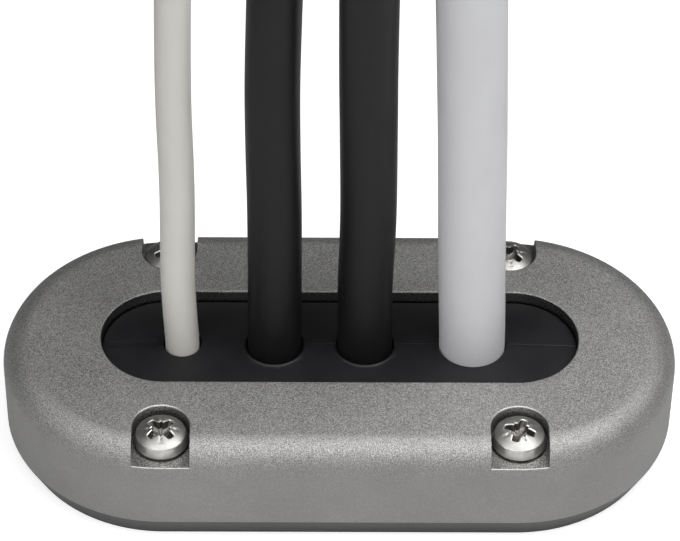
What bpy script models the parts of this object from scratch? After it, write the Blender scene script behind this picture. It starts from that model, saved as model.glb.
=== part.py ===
"""Cable deck seal: a metal cover clamps a split rubber insert to a deck, round four cables.

Metres, +Z up. The origin is the middle of the underside, +X runs along the cover and -Y is
the front. Every outline of the cover and of the insert is the outline of the cable opening,
moved outwards by a named amount, so the pieces nest whatever size the opening has.
"""
import math

import bmesh
import bpy

# Cable opening in the cover's top
OPENING_LENGTH = 0.0899
OPENING_WIDTH = 0.0242
OPENING_EDGE_BREAK = 0.00035

# Gaps between pieces that touch or pass each other
SEAT_GAP = 0.0003
CABLE_CLEARANCE = 0.0003
POCKET_CLEARANCE = 0.00048
SCREW_HOLE_CLEARANCE = 0.0004

# Rubber insert
SHOULDER_WIDTH = 0.0032
FLANGE_WIDTH = 0.0030
FLANGE_THICKNESS = 0.0030
INSERT_DROP = 0.0025
INSERT_CROWN = 0.0005
INSERT_EDGE_BREAK = 0.0004
CHANNEL_EDGE_BREAK = 0.0005

# Pan head screws
HEAD_RADIUS = 0.00485
HEAD_TAPER = 0.0001
HEAD_EDGE_BREAK = 0.00015
SKIRT_HEIGHT = 0.00245
DOME_RADIUS = 0.0081
SHANK_RADIUS = 0.0025
TIP_LENGTH = 0.0022
TIP_RADIUS = 0.0006
TIP_HEIGHT = 0.0010
RECESS_REACH = 0.00305
RECESS_HALF_WIDTH = 0.00068
RECESS_DEPTH = 0.0024
RECESS_STRAIGHT_DEPTH = 0.0010
RECESS_FOOT_SCALE = 0.45

# Cover, outside
COVER_HEIGHT = 0.02384
TOP_ROUND = 0.0052
FOOT_HEIGHT = 0.0054
FOOT_INSET = 0.00255
POCKET_DEPTH = 0.0041
POCKET_EDGE_BREAK = 0.0003

# Cover, inside
COLLAR_WALL = 0.0020
BOSS_WALL = 0.00233
BOSS_EDGE_WALL = 0.00137
FOOT_LAND = 0.0026
CAVITY_DRAFT = 0.00035
POCKET_FLOOR_THICKNESS = 0.0014
RIB_THICKNESS = 0.0020
RIB_LIFT = 0.0025
SIDE_RIB_PLACES = (-0.5, 0.0, 0.5)
END_RIB_ANGLES = (-45.0, 0.0, 45.0)

# Cables: lower cut end above the deck
CABLE_START = 0.0005
CABLE_POINT_SPACING = 2.2

# Facets. The cavity's ends have an odd count, so that no wall of the cutter meets the cover
# along the edge of one of its facets
END_SEGMENTS = 26
CAVITY_END_SEGMENTS = 27
ROUND_SEGMENTS = 7
CROWN_SEGMENTS = 4
LATHE_SEGMENTS = 32
DOME_SEGMENTS = 6
CUT_MARGIN = 0.001

# Places that follow from the sizes above: distances outwards from the opening's edge
NECK_OUT = -SEAT_GAP
BODY_OUT = SHOULDER_WIDTH
COLLAR_IN = BODY_OUT + SEAT_GAP
COLLAR_OUT = COLLAR_IN + COLLAR_WALL
FLANGE_OUT = BODY_OUT + FLANGE_WIDTH
FLANGE_RECESS_OUT = FLANGE_OUT + SEAT_GAP
SCREW_HOLE_RADIUS = SHANK_RADIUS + SCREW_HOLE_CLEARANCE
SCREW_OUT = FLANGE_RECESS_OUT + BOSS_WALL + SCREW_HOLE_RADIUS
FOOT_OUT = SCREW_OUT + SCREW_HOLE_RADIUS + BOSS_EDGE_WALL
COVER_OUT = FOOT_OUT + FOOT_INSET
CAVITY_OUT = FOOT_OUT - FOOT_LAND

# Places that follow: positions and heights
ARC_CENTRE_X = (OPENING_LENGTH - OPENING_WIDTH) / 2
SCREW_X = ARC_CENTRE_X
SCREW_Y = OPENING_WIDTH / 2 + SCREW_OUT
BOSS_RADIUS = SCREW_HOLE_RADIUS + BOSS_WALL
POCKET_RADIUS = HEAD_RADIUS + POCKET_CLEARANCE
POCKET_FLOOR_Z = COVER_HEIGHT - POCKET_DEPTH
PLATE_UNDERSIDE_Z = POCKET_FLOOR_Z - POCKET_FLOOR_THICKNESS
SHOULDER_Z = PLATE_UNDERSIDE_Z - SEAT_GAP
FLANGE_RECESS_Z = FLANGE_THICKNESS + SEAT_GAP
INSERT_EDGE_Z = COVER_HEIGHT - INSERT_DROP
INSERT_TOP_Z = INSERT_EDGE_Z + INSERT_CROWN
HEAD_SEAT_Z = POCKET_FLOOR_Z + SEAT_GAP

# Screws: side of the cover, and turn of the cross recess in degrees
SCREWS = {
    "screw_front_left": {"side": (-1, -1), "turn": 45.0},
    "screw_front_right": {"side": (1, -1), "turn": -20.0},
    "screw_rear_left": {"side": (-1, 1), "turn": 18.0},
    "screw_rear_right": {"side": (1, 1), "turn": -38.0},
}

# Cables: diameter, place of the channel, and the route above the insert as steps away from the
# channel's axis (x, y) at a height above the insert's top
CABLES = {
    "cable_thin_white": {
        "diameter": 0.0064,
        "channel": (-0.0297, 0.0002),
        "route": (
            (-0.00025, 0.0, 0.008), (-0.00043, 0.0, 0.016), (-0.0003, 0.0, 0.025), (-0.0001, 0.0, 0.035),
            (-0.00008, 0.0, 0.045), (-0.0002, 0.0, 0.056), (-0.00014, 0.0, 0.066), (0.0001, 0.0, 0.077),
            (0.0005, 0.0, 0.0912),
        ),
    },
    "cable_black_left": {
        "diameter": 0.0101,
        "channel": (-0.0123, 0.0),
        "route": (
            (0.00005, 0.0, 0.008), (0.00012, 0.0001, 0.020), (0.0001, 0.0004, 0.034), (-0.0001, 0.0009, 0.048),
            (-0.00014, 0.0014, 0.062), (0.0002, 0.0022, 0.077), (0.00065, 0.0030, 0.0912),
        ),
    },
    "cable_black_right": {
        "diameter": 0.0101,
        "channel": (0.00475, 0.0),
        "route": (
            (-0.0001, 0.0, 0.008), (-0.00018, -0.0001, 0.016), (0.00008, -0.0003, 0.028), (0.0001, -0.0007, 0.038),
            (-0.00016, -0.0014, 0.055), (-0.0004, -0.0021, 0.070), (-0.00055, -0.0030, 0.0912),
        ),
    },
    "cable_thick_white": {
        "diameter": 0.01245,
        "channel": (0.02495, 0.0006),
        "route": (
            (-0.00025, 0.0, 0.008), (-0.0006, 0.0, 0.016), (-0.00105, 0.0, 0.029), (-0.0014, 0.0, 0.040),
            (-0.0018, 0.0, 0.052), (-0.0023, 0.0, 0.064), (-0.00285, 0.0, 0.077), (-0.0035, 0.0, 0.0912),
        ),
    },
}

# Finishes: colour, roughness, metallic
FINISHES = {
    "blasted_aluminium": ((0.24, 0.235, 0.23), 0.5, 1.0),
    "rubber_black": ((0.016, 0.016, 0.018), 0.6, 0.0),
    "stainless_steel": ((0.60, 0.60, 0.58), 0.2, 1.0),
    "jacket_black": ((0.013, 0.013, 0.014), 0.5, 0.0),
    "jacket_warm_white": ((0.60, 0.57, 0.52), 0.45, 0.0),
    "jacket_cool_white": ((0.62, 0.62, 0.65), 0.45, 0.0),
}
CABLE_FINISHES = {
    "cable_thin_white": "jacket_warm_white",
    "cable_black_left": "jacket_black",
    "cable_black_right": "jacket_black",
    "cable_thick_white": "jacket_cool_white",
}


def clear_scene():
    """Remove every object, so the model starts from nothing."""
    for item in list(bpy.data.objects):
        bpy.data.objects.remove(item, do_unlink=True)


def make_finish(name):
    """Make one Principled material from the table of finishes."""
    colour, roughness, metallic = FINISHES[name]
    material = bpy.data.materials.new(name)
    material.use_nodes = True
    shader = material.node_tree.nodes["Principled BSDF"]
    shader.inputs["Base Color"].default_value = (*colour, 1.0)
    shader.inputs["Roughness"].default_value = roughness
    shader.inputs["Metallic"].default_value = metallic
    return material


def add_object(name, bm, material=None):
    """Turn a bmesh into an object with outward faces; with no material it is a cutter."""
    bmesh.ops.remove_doubles(bm, verts=bm.verts, dist=1e-7)
    bmesh.ops.recalc_face_normals(bm, faces=bm.faces)
    mesh = bpy.data.meshes.new(name)
    bm.to_mesh(mesh)
    bm.free()
    piece = bpy.data.objects.new(name, mesh)
    bpy.context.scene.collection.objects.link(piece)
    if material is None:
        piece.hide_render = True
        piece.display_type = "WIRE"
    else:
        mesh.materials.append(material)
        mesh.shade_smooth()
        mesh.set_sharp_from_angle(angle=math.radians(35))
    return piece


def cut(piece, cutter):
    """Subtract one closed solid from another with a live Boolean."""
    boolean = piece.modifiers.new(cutter.name, "BOOLEAN")
    boolean.operation = "DIFFERENCE"
    boolean.solver = "EXACT"
    boolean.object = cutter


def bridge(bm, lower, upper):
    """Join two rings of equal length with a band of quads."""
    count = len(lower)
    for i in range(count):
        j = (i + 1) % count
        bm.faces.new((lower[i], lower[j], upper[j], upper[i]))


def stadium(out, segments):
    """Outline of the opening moved outwards by out: two half circles on fixed centres."""
    radius = OPENING_WIDTH / 2 + out
    points = []
    for end, start in ((1, -90.0), (-1, 90.0)):
        for i in range(segments + 1):
            angle = math.radians(start + 180.0 * i / segments)
            points.append((end * ARC_CENTRE_X + radius * math.cos(angle), radius * math.sin(angle)))
    return points


def loft(rings, ring_shaped=False):
    """Skin rings of points into a closed solid: capped, or joined last to first."""
    bm = bmesh.new()
    loops = [[bm.verts.new(point) for point in ring] for ring in rings]
    for lower, upper in zip(loops, loops[1:]):
        bridge(bm, lower, upper)
    if ring_shaped:
        bridge(bm, loops[-1], loops[0])
    else:
        bm.faces.new(list(reversed(loops[0])))
        bm.faces.new(loops[-1])
    return bm


def stadium_loft(profile, ring_shaped=False, segments=END_SEGMENTS):
    """Sweep a profile of (out, height) pairs round the stadium."""
    rings = [[(x, y, z) for x, y in stadium(out, segments)] for out, z in profile]
    return loft(rings, ring_shaped)


def lathe(profile, segments=LATHE_SEGMENTS):
    """Turn a profile of (radius, height) pairs about Z; its first and last points are on the axis."""
    bm = bmesh.new()
    bottom = bm.verts.new((0.0, 0.0, profile[0][1]))
    top = bm.verts.new((0.0, 0.0, profile[-1][1]))
    loops = []
    for radius, z in profile[1:-1]:
        ring = []
        for i in range(segments):
            angle = 2 * math.pi * i / segments
            ring.append(bm.verts.new((radius * math.cos(angle), radius * math.sin(angle), z)))
        loops.append(ring)
    for lower, upper in zip(loops, loops[1:]):
        bridge(bm, lower, upper)
    for i in range(segments):
        j = (i + 1) % segments
        bm.faces.new((loops[0][j], loops[0][i], bottom))
        bm.faces.new((loops[-1][i], loops[-1][j], top))
    return bm


def box(low, high):
    """A plain block between two corners."""
    ring = [(low[0], low[1]), (high[0], low[1]), (high[0], high[1]), (low[0], high[1])]
    return loft([[(x, y, z) for x, y in ring] for z in (low[2], high[2])])


def cover_profile():
    """Section of the cover's wall: tapered foot, side, rounded top edge, opening and insert seat."""
    profile = [(FOOT_OUT, 0.0), (COVER_OUT, FOOT_HEIGHT)]
    for i in range(ROUND_SEGMENTS + 1):
        angle = math.radians(90.0 * i / ROUND_SEGMENTS)
        out = COVER_OUT - TOP_ROUND * (1 - math.cos(angle))
        profile.append((out, COVER_HEIGHT - TOP_ROUND * (1 - math.sin(angle))))
    profile += [
        (OPENING_EDGE_BREAK, COVER_HEIGHT),
        (0.0, COVER_HEIGHT - OPENING_EDGE_BREAK),
        (0.0, PLATE_UNDERSIDE_Z),
        (COLLAR_IN, PLATE_UNDERSIDE_Z),
        (COLLAR_IN, FLANGE_RECESS_Z),
        (FLANGE_RECESS_OUT, FLANGE_RECESS_Z),
        (FLANGE_RECESS_OUT, 0.0),
    ]
    return profile


def pocket_outline(radius):
    """Arch open to the side: a half circle towards the middle and straight sides running out."""
    length = SCREW_HOLE_RADIUS + BOSS_EDGE_WALL + FOOT_INSET + POCKET_RADIUS
    points = [(-radius, length)]
    for i in range(END_SEGMENTS + 1):
        angle = math.radians(180.0 + 180.0 * i / END_SEGMENTS)
        points.append((radius * math.cos(angle), radius * math.sin(angle)))
    points.append((radius, length))
    return points


def pocket_cutter(name):
    """Screw pocket with a broken top edge; its own origin is on the screw axis, on the floor."""
    sections = (
        (POCKET_RADIUS, 0.0),
        (POCKET_RADIUS, POCKET_DEPTH - POCKET_EDGE_BREAK),
        (POCKET_RADIUS + POCKET_EDGE_BREAK + CUT_MARGIN, POCKET_DEPTH + CUT_MARGIN),
    )
    rings = [[(x, y, z) for x, y in pocket_outline(radius)] for radius, z in sections]
    return add_object(name, loft(rings))


def rib_cutter(name, centre_x, angle_deg):
    """One rib across the cavity, square to the collar, standing clear of the deck."""
    inner = OPENING_WIDTH / 2 + COLLAR_OUT - COLLAR_WALL / 2
    outer = OPENING_WIDTH / 2 + CAVITY_OUT + FOOT_LAND / 2
    rib = add_object(name, box(
        (inner, -RIB_THICKNESS / 2, RIB_LIFT),
        (outer, RIB_THICKNESS / 2, PLATE_UNDERSIDE_Z + CUT_MARGIN),
    ))
    rib.location = (centre_x, 0.0, 0.0)
    rib.rotation_euler.z = math.radians(angle_deg)
    return rib


def cavity_cutter():
    """Hollow between collar and outer wall, interrupted by ribs and screw bosses."""
    cavity = add_object("cavity", stadium_loft([
        (COLLAR_OUT, -CUT_MARGIN),
        (CAVITY_OUT, -CUT_MARGIN),
        (CAVITY_OUT - CAVITY_DRAFT, PLATE_UNDERSIDE_Z),
        (COLLAR_OUT, PLATE_UNDERSIDE_Z),
    ], ring_shaped=True, segments=CAVITY_END_SEGMENTS))
    for side, facing in (("front", -90.0), ("rear", 90.0)):
        for number, place in enumerate(SIDE_RIB_PLACES):
            cut(cavity, rib_cutter(f"rib_{side}_{number}", place * ARC_CENTRE_X, facing))
    for end, sign, facing in (("left", -1, 180.0), ("right", 1, 0.0)):
        for number, angle in enumerate(END_RIB_ANGLES):
            cut(cavity, rib_cutter(f"rib_{end}_{number}", sign * ARC_CENTRE_X, facing + angle))
    for name, screw in SCREWS.items():
        x, y = screw["side"]
        boss = add_object(f"boss_{name}", lathe([
            (0.0, -2 * CUT_MARGIN),
            (BOSS_RADIUS, -2 * CUT_MARGIN),
            (BOSS_RADIUS, PLATE_UNDERSIDE_Z + CUT_MARGIN),
            (0.0, PLATE_UNDERSIDE_Z + CUT_MARGIN),
        ]))
        boss.location = (x * SCREW_X, y * SCREW_Y, 0.0)
        cut(cavity, boss)
        cut(cavity, rib_cutter(f"web_{name}", x * SCREW_X, y * 90.0))
    return cavity


def build_cover(material):
    """Cast cover: stadium shell with ribs and bosses inside and an open pocket at each screw."""
    cover = add_object("cover", stadium_loft(cover_profile(), ring_shaped=True), material)
    cut(cover, cavity_cutter())
    for name, screw in SCREWS.items():
        x, y = screw["side"]
        pocket = pocket_cutter(f"pocket_{name}")
        pocket.location = (x * SCREW_X, y * SCREW_Y, POCKET_FLOOR_Z)
        pocket.rotation_euler.z = 0.0 if y > 0 else math.pi
        cut(cover, pocket)
        hole = add_object(f"hole_{name}", lathe([
            (0.0, -CUT_MARGIN),
            (SCREW_HOLE_RADIUS, -CUT_MARGIN),
            (SCREW_HOLE_RADIUS, POCKET_FLOOR_Z + CUT_MARGIN),
            (0.0, POCKET_FLOOR_Z + CUT_MARGIN),
        ]))
        hole.location = (x * SCREW_X, y * SCREW_Y, 0.0)
        cut(cover, hole)
    return cover


def insert_profile():
    """Section of the rubber insert: deck flange, body, neck in the opening and crowned top."""
    profile = [
        (FLANGE_OUT, 0.0),
        (FLANGE_OUT, FLANGE_THICKNESS),
        (BODY_OUT, FLANGE_THICKNESS),
        (BODY_OUT, SHOULDER_Z),
        (NECK_OUT, SHOULDER_Z),
        (NECK_OUT, INSERT_EDGE_Z - INSERT_EDGE_BREAK),
    ]
    start = NECK_OUT - INSERT_EDGE_BREAK
    half_width = OPENING_WIDTH / 2 + start
    for i in range(CROWN_SEGMENTS + 1):
        share = 0.9 * i / CROWN_SEGMENTS
        height = INSERT_CROWN * (1 - (1 - share) ** 2)
        profile.append((start - share * half_width, INSERT_EDGE_Z + height))
    return profile


def channel_cutter(name, cable):
    """Round channel for one cable, flared where it leaves the top of the insert."""
    radius = cable["diameter"] / 2 + CABLE_CLEARANCE
    channel = add_object(name, lathe([
        (0.0, -CUT_MARGIN),
        (radius, -CUT_MARGIN),
        (radius, INSERT_TOP_Z - CHANNEL_EDGE_BREAK),
        (radius + CHANNEL_EDGE_BREAK + CUT_MARGIN, INSERT_TOP_Z + CUT_MARGIN),
        (0.0, INSERT_TOP_Z + CUT_MARGIN),
    ]))
    channel.location = (*cable["channel"], 0.0)
    return channel


def build_insert(material, channels):
    """Two rubber halves that meet along the cover's long axis and close round the cables."""
    reach_x = ARC_CENTRE_X + OPENING_WIDTH / 2 + COVER_OUT
    reach_y = OPENING_WIDTH / 2 + COVER_OUT
    halves = []
    for name, side in (("seal_front", 1), ("seal_rear", -1)):
        half = add_object(name, stadium_loft(insert_profile()), material)
        y_range = sorted((-side * SEAT_GAP / 2, side * reach_y))
        rest = add_object(f"other_side_of_{name}", box(
            (-reach_x, y_range[0], -CUT_MARGIN),
            (reach_x, y_range[1], COVER_HEIGHT),
        ))
        cut(half, rest)
        for channel in channels:
            cut(half, channel)
        halves.append(half)
    return halves


def screw_profile():
    """Section of one screw about its axis, with z = 0 under the head."""
    tip_z = TIP_HEIGHT - HEAD_SEAT_Z
    profile = [
        (0.0, tip_z),
        (TIP_RADIUS, tip_z),
        (SHANK_RADIUS, tip_z + TIP_LENGTH),
        (SHANK_RADIUS, 0.0),
        (HEAD_RADIUS - HEAD_EDGE_BREAK, 0.0),
        (HEAD_RADIUS, HEAD_EDGE_BREAK),
    ]
    rim = HEAD_RADIUS - HEAD_TAPER
    dome_centre = SKIRT_HEIGHT - math.sqrt(DOME_RADIUS ** 2 - rim ** 2)
    for i in range(DOME_SEGMENTS):
        radius = rim * (1 - i / DOME_SEGMENTS)
        profile.append((radius, dome_centre + math.sqrt(DOME_RADIUS ** 2 - radius ** 2)))
    profile.append((0.0, dome_centre + DOME_RADIUS))
    return profile


def recess_outline(scale):
    """Cross with four straight wings."""
    reach, half = RECESS_REACH * scale, RECESS_HALF_WIDTH * scale
    wing = [(half, -half), (reach, -half), (reach, half)]
    points = []
    for quarter in range(4):
        angle = quarter * math.pi / 2
        turned = (math.cos(angle), math.sin(angle))
        points += [(x * turned[0] - y * turned[1], x * turned[1] + y * turned[0]) for x, y in wing]
    return points


def build_screw(name, material):
    """Pan head screw with a cross recess, standing in its pocket and its clearance hole."""
    profile = screw_profile()
    head_top = profile[-1][1]
    screw = add_object(name, lathe(profile), material)
    sections = (
        (RECESS_FOOT_SCALE, head_top - RECESS_DEPTH),
        (1.0, head_top - RECESS_STRAIGHT_DEPTH),
        (1.0, head_top + CUT_MARGIN),
    )
    rings = [[(x, y, z) for x, y in recess_outline(scale)] for scale, z in sections]
    recess = add_object(f"recess_{name}", loft(rings))
    recess.parent = screw
    cut(screw, recess)
    x, y = SCREWS[name]["side"]
    screw.location = (x * SCREW_X, y * SCREW_Y, HEAD_SEAT_Z)
    screw.rotation_euler.z = math.radians(SCREWS[name]["turn"])
    return screw


def smooth_route(points, spacing):
    """Read points at about equal spacing from a smooth curve through the route's own points."""
    padded = [points[0], *points, points[-1]]
    fine = []
    for p0, p1, p2, p3 in zip(padded, padded[1:], padded[2:], padded[3:]):
        for step in range(20):
            t = step / 20
            fine.append(tuple(
                0.5 * (2 * b + (c - a) * t + (2 * a - 5 * b + 4 * c - d) * t ** 2
                       + (3 * b - a - 3 * c + d) * t ** 3)
                for a, b, c, d in zip(p0, p1, p2, p3)
            ))
    fine.append(points[-1])
    lengths = [0.0]
    for start, end in zip(fine, fine[1:]):
        lengths.append(lengths[-1] + math.dist(start, end))
    count = max(2, round(lengths[-1] / spacing))
    route = []
    index = 0
    for i in range(count + 1):
        target = lengths[-1] * i / count
        while index < len(lengths) - 2 and lengths[index + 1] < target:
            index += 1
        share = (target - lengths[index]) / (lengths[index + 1] - lengths[index])
        route.append(tuple(a + (b - a) * share for a, b in zip(fine[index], fine[index + 1])))
    return route


def cable_route(cable):
    """Straight up its channel, then along the steps of its own route."""
    x, y = cable["channel"]
    points = [(x, y, z) for z in (CABLE_START, INSERT_TOP_Z / 2, INSERT_TOP_Z)]
    points += [(x + dx, y + dy, INSERT_TOP_Z + dz) for dx, dy, dz in cable["route"]]
    return smooth_route(points, CABLE_POINT_SPACING * cable["diameter"])


def build_cable(name, cable, material):
    """Stiff length of cable, cut square at both ends."""
    curve = bpy.data.curves.new(name, "CURVE")
    curve.dimensions = "3D"
    curve.bevel_depth = cable["diameter"] / 2
    curve.bevel_resolution = 4
    curve.use_fill_caps = True
    route = cable_route(cable)
    spline = curve.splines.new("POLY")
    spline.points.add(len(route) - 1)
    for point, place in zip(spline.points, route):
        point.co = (*place, 1.0)
    curve.materials.append(material)
    piece = bpy.data.objects.new(name, curve)
    bpy.context.scene.collection.objects.link(piece)
    return piece


def main():
    """Build every piece of the deck seal."""
    clear_scene()
    finishes = {name: make_finish(name) for name in FINISHES}
    build_cover(finishes["blasted_aluminium"])
    channels = [channel_cutter(f"channel_{name}", cable) for name, cable in CABLES.items()]
    build_insert(finishes["rubber_black"], channels)
    for name in SCREWS:
        build_screw(name, finishes["stainless_steel"])
    for name, cable in CABLES.items():
        build_cable(name, cable, finishes[CABLE_FINISHES[name]])


main()
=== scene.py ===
"""Looks of the cable deck seal: fine meshes, finishes, studio and camera, in metres.

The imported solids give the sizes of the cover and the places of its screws. Each sub-assembly
is a class: the cover, the rubber insert, the set of screws and the cables. +X runs along the
cover, -Y is the front and +Z is up out of the deck.
"""

import logging
import math
from dataclasses import dataclass
from enum import Enum
from typing import Callable, Iterable, Sequence

import bmesh
import bpy
from mathutils import Matrix, Vector, geometry


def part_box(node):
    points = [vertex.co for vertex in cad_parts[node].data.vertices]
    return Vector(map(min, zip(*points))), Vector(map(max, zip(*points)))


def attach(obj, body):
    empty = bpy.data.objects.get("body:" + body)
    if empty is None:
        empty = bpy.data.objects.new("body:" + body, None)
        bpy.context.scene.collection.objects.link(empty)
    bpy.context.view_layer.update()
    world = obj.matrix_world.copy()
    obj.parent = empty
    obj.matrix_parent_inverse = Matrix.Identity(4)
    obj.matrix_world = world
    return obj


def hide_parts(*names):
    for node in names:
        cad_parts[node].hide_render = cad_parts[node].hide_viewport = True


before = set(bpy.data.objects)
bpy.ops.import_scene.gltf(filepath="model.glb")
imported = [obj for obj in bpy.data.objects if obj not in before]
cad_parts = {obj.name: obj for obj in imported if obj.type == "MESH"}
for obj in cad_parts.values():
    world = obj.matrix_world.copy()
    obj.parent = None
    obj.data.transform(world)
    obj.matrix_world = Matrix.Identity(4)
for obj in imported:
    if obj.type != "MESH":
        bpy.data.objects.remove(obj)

LOG = logging.getLogger("deck_seal")
MM = 0.001
SEAT_GAP = 0.3 * MM
BODY = "root"

Point2 = tuple[float, float]
Point3 = tuple[float, float, float]
Socket = bpy.types.NodeSocket
Material = bpy.types.Material
Piece = bpy.types.Object

UNIT = (0.0, 1.0)
NOISE_MIDDLE = (0.3, 0.7)


class Slot(Enum):
    """Material slots of the record."""

    COVER = "cover"
    INSERT = "insert"
    SCREWS = "screws"
    JACKET_BLACK = "jacket_black"
    JACKET_WARM_WHITE = "jacket_warm_white"
    JACKET_COOL_WHITE = "jacket_cool_white"


class Shade(Enum):
    """How the faces of a piece meet in the shading."""

    SMOOTH = math.radians(180.0)
    ROUNDED = math.radians(40.0)
    CRISP = math.radians(28.0)


class Surface(Enum):
    """Surfaces of the cover, each with its own finish."""

    SKIN = 0
    NECK = 1
    # FOOT: finish painted darker, as shade under the cover's edge
    FOOT = 2
    # POCKET: finish painted darker, as shade in the recesses
    POCKET = 3
    # finish painted lighter on the pocket edges, as edge wear and painted highlight
    WORN = 4


class ScrewPart(Enum):
    """Parts of a screw, each with its own finish."""

    HEAD = 0
    RECESS = 1
    # EDGE: skirt and recess rim, in a lighter steel as painted highlight
    EDGE = 2


class CutPart(Enum):
    """What a cut cable shows, each with its own finish."""

    JACKET = 0
    FILLER = 1
    INSULATION = 2
    CORE = 3


class NodeGraph:
    """A material's node tree under construction, with its Principled shader."""

    def __init__(self, name: str) -> None:
        """Make an empty material with one Principled shader.

        Args:
            name: name of the material.
        """
        self.material = bpy.data.materials.new(name)
        self.material.use_nodes = True
        self.tree = self.material.node_tree
        self.shader = self.tree.nodes["Principled BSDF"]

    def add(self, kind: str, values: dict | None = None, **settings: object) -> bpy.types.Node:
        """Add a node.

        Args:
            kind: Blender's name for the node type.
            values: socket values by socket name or number.
            **settings: attributes of the node itself.

        Returns:
            The new node.
        """
        node = self.tree.nodes.new(kind)
        for key, value in settings.items():
            setattr(node, key, value)
        for key, value in (values or {}).items():
            node.inputs[key].default_value = value
        return node

    def link(self, source: Socket, target: Socket) -> None:
        """Join an output to an input."""
        self.tree.links.new(source, target)

    def place(self, attribute: str | None, stretch: Point3 = (1.0, 1.0, 1.0)) -> Socket:
        """Give the coordinates that a pattern follows.

        Args:
            attribute: name of a vector attribute, or None for object coordinates.
            stretch: factor on each coordinate.

        Returns:
            The vector socket.
        """
        if attribute is None:
            source = self.add("ShaderNodeTexCoord").outputs["Object"]
        else:
            source = self.add("ShaderNodeAttribute", attribute_name=attribute).outputs["Vector"]
        mapping = self.add("ShaderNodeMapping", {"Scale": stretch})
        self.link(source, mapping.inputs["Vector"])
        return mapping.outputs["Vector"]

    def noise(self, vector: Socket, size: float, detail: float = 2.0,
              roughness: float = 0.5) -> Socket:
        """Add a noise pattern.

        Args:
            vector: coordinates.
            size: width of one grain in metres.
            detail: number of finer layers.
            roughness: strength of the finer layers.

        Returns:
            The value socket, about 0.5 on average.
        """
        node = self.add("ShaderNodeTexNoise", {"Scale": 1.0 / size, "Detail": detail, "Roughness": roughness})
        self.link(vector, node.inputs["Vector"])
        return node.outputs["Fac"]

    def spread(self, value: Socket, source: Point2, target: Point2) -> Socket:
        """Map one range of values to another, clamped.

        Args:
            value: value socket.
            source: range that comes in.
            target: range that goes out.

        Returns:
            The mapped value's socket.
        """
        node = self.add("ShaderNodeMapRange", {
            "From Min": source[0], "From Max": source[1], "To Min": target[0], "To Max": target[1]})
        self.link(value, node.inputs["Value"])
        return node.outputs["Result"]

    def blend(self, factor: Socket, first: Sequence[float],
              second: Sequence[float]) -> Socket:
        """Blend two colours by a value.

        Args:
            factor: value socket from 0 to 1.
            first: colour at 0.
            second: colour at 1.

        Returns:
            The colour socket.
        """
        node = self.add("ShaderNodeMix", data_type="RGBA")
        node.inputs[6].default_value = (*first, 1.0)
        node.inputs[7].default_value = (*second, 1.0)
        self.link(factor, node.inputs[0])
        return node.outputs[2]

    def height(self, place: Socket) -> Socket:
        """Give the third coordinate of a place.

        Args:
            place: vector socket.

        Returns:
            The coordinate's socket.
        """
        node = self.add("ShaderNodeSeparateXYZ")
        self.link(place, node.inputs["Vector"])
        return node.outputs["Z"]

    def mix(self, factor: Socket, first: Socket,
            second: Socket) -> Socket:
        """Mix two values.

        Args:
            factor: value socket from 0 to 1.
            first: value socket at 0.
            second: value socket at 1.

        Returns:
            The mixed value's socket.
        """
        node = self.add("ShaderNodeMix", data_type="FLOAT")
        for number, socket in ((0, factor), (2, first), (3, second)):
            self.link(socket, node.inputs[number])
        return node.outputs[0]

    def scale_colour(self, colour: Socket, factor: Socket) -> Socket:
        """Multiply a colour by a value.

        Args:
            colour: colour socket.
            factor: value socket.

        Returns:
            The colour socket.
        """
        node = self.add("ShaderNodeVectorMath", operation="SCALE")
        self.link(colour, node.inputs[0])
        self.link(factor, node.inputs["Scale"])
        return node.outputs["Vector"]

    def bump(self, height: Socket, depth: float, strength: float = 1.0,
             below: Socket | None = None) -> Socket:
        """Turn a height into a normal.

        Args:
            height: value socket.
            depth: height in metres of a value of 1.
            strength: share of the effect.
            below: normal socket of a coarser bump under this one.

        Returns:
            The normal socket.
        """
        node = self.add("ShaderNodeBump", {"Strength": strength, "Distance": depth})
        self.link(height, node.inputs["Height"])
        if below is not None:
            self.link(below, node.inputs["Normal"])
        return node.outputs["Normal"]


@dataclass(frozen=True)
class BlastedAluminium:
    """Cast aluminium, blasted with fine beads and anodised grey.

    Between the two heights of fading the grain's contrast rises from faint to crisp.
    """

    name: str = "blasted_aluminium"
    dark: Point3 = (0.205, 0.202, 0.197)
    light: Point3 = (0.530, 0.526, 0.515)
    roughness: Point2 = (0.58, 0.66)
    fading: Point2 = (16.6 * MM, 22.4 * MM)
    grain: float = 0.18 * MM
    cloud: float = 9.0 * MM
    grain_depth: float = 0.100 * MM
    pit_depth: float = 0.035 * MM
    crisp: Point2 = (0.39, 0.61)
    faint: Point2 = (0.28, 0.72)
    cloud_tone: Point2 = (0.96, 1.04)
    pit_ratio: float = 1.6

    def build(self) -> Material:
        """Make the material.

        Returns:
            The material.
        """
        graph = NodeGraph(self.name)
        place = graph.place(None)
        grain = graph.noise(place, self.grain, detail=2.0, roughness=0.6)
        cloud = graph.noise(place, self.cloud, detail=3.0)
        crisp = graph.spread(grain, self.crisp, UNIT)
        faint = graph.spread(grain, self.faint, self.faint)
        speckle = graph.mix(graph.spread(graph.height(place), self.fading, UNIT), faint, crisp)
        colour = graph.blend(speckle, self.dark, self.light)
        colour = graph.scale_colour(colour, graph.spread(cloud, NOISE_MIDDLE, self.cloud_tone))
        graph.link(colour, graph.shader.inputs["Base Color"])
        graph.link(graph.spread(grain, NOISE_MIDDLE, self.roughness), graph.shader.inputs["Roughness"])
        graph.shader.inputs["Metallic"].default_value = 1.0
        pits = graph.noise(place, self.grain * self.pit_ratio, detail=1.0)
        coarse = graph.bump(pits, self.pit_depth)
        graph.link(graph.bump(grain, self.grain_depth, below=coarse), graph.shader.inputs["Normal"])
        return graph.material


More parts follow.
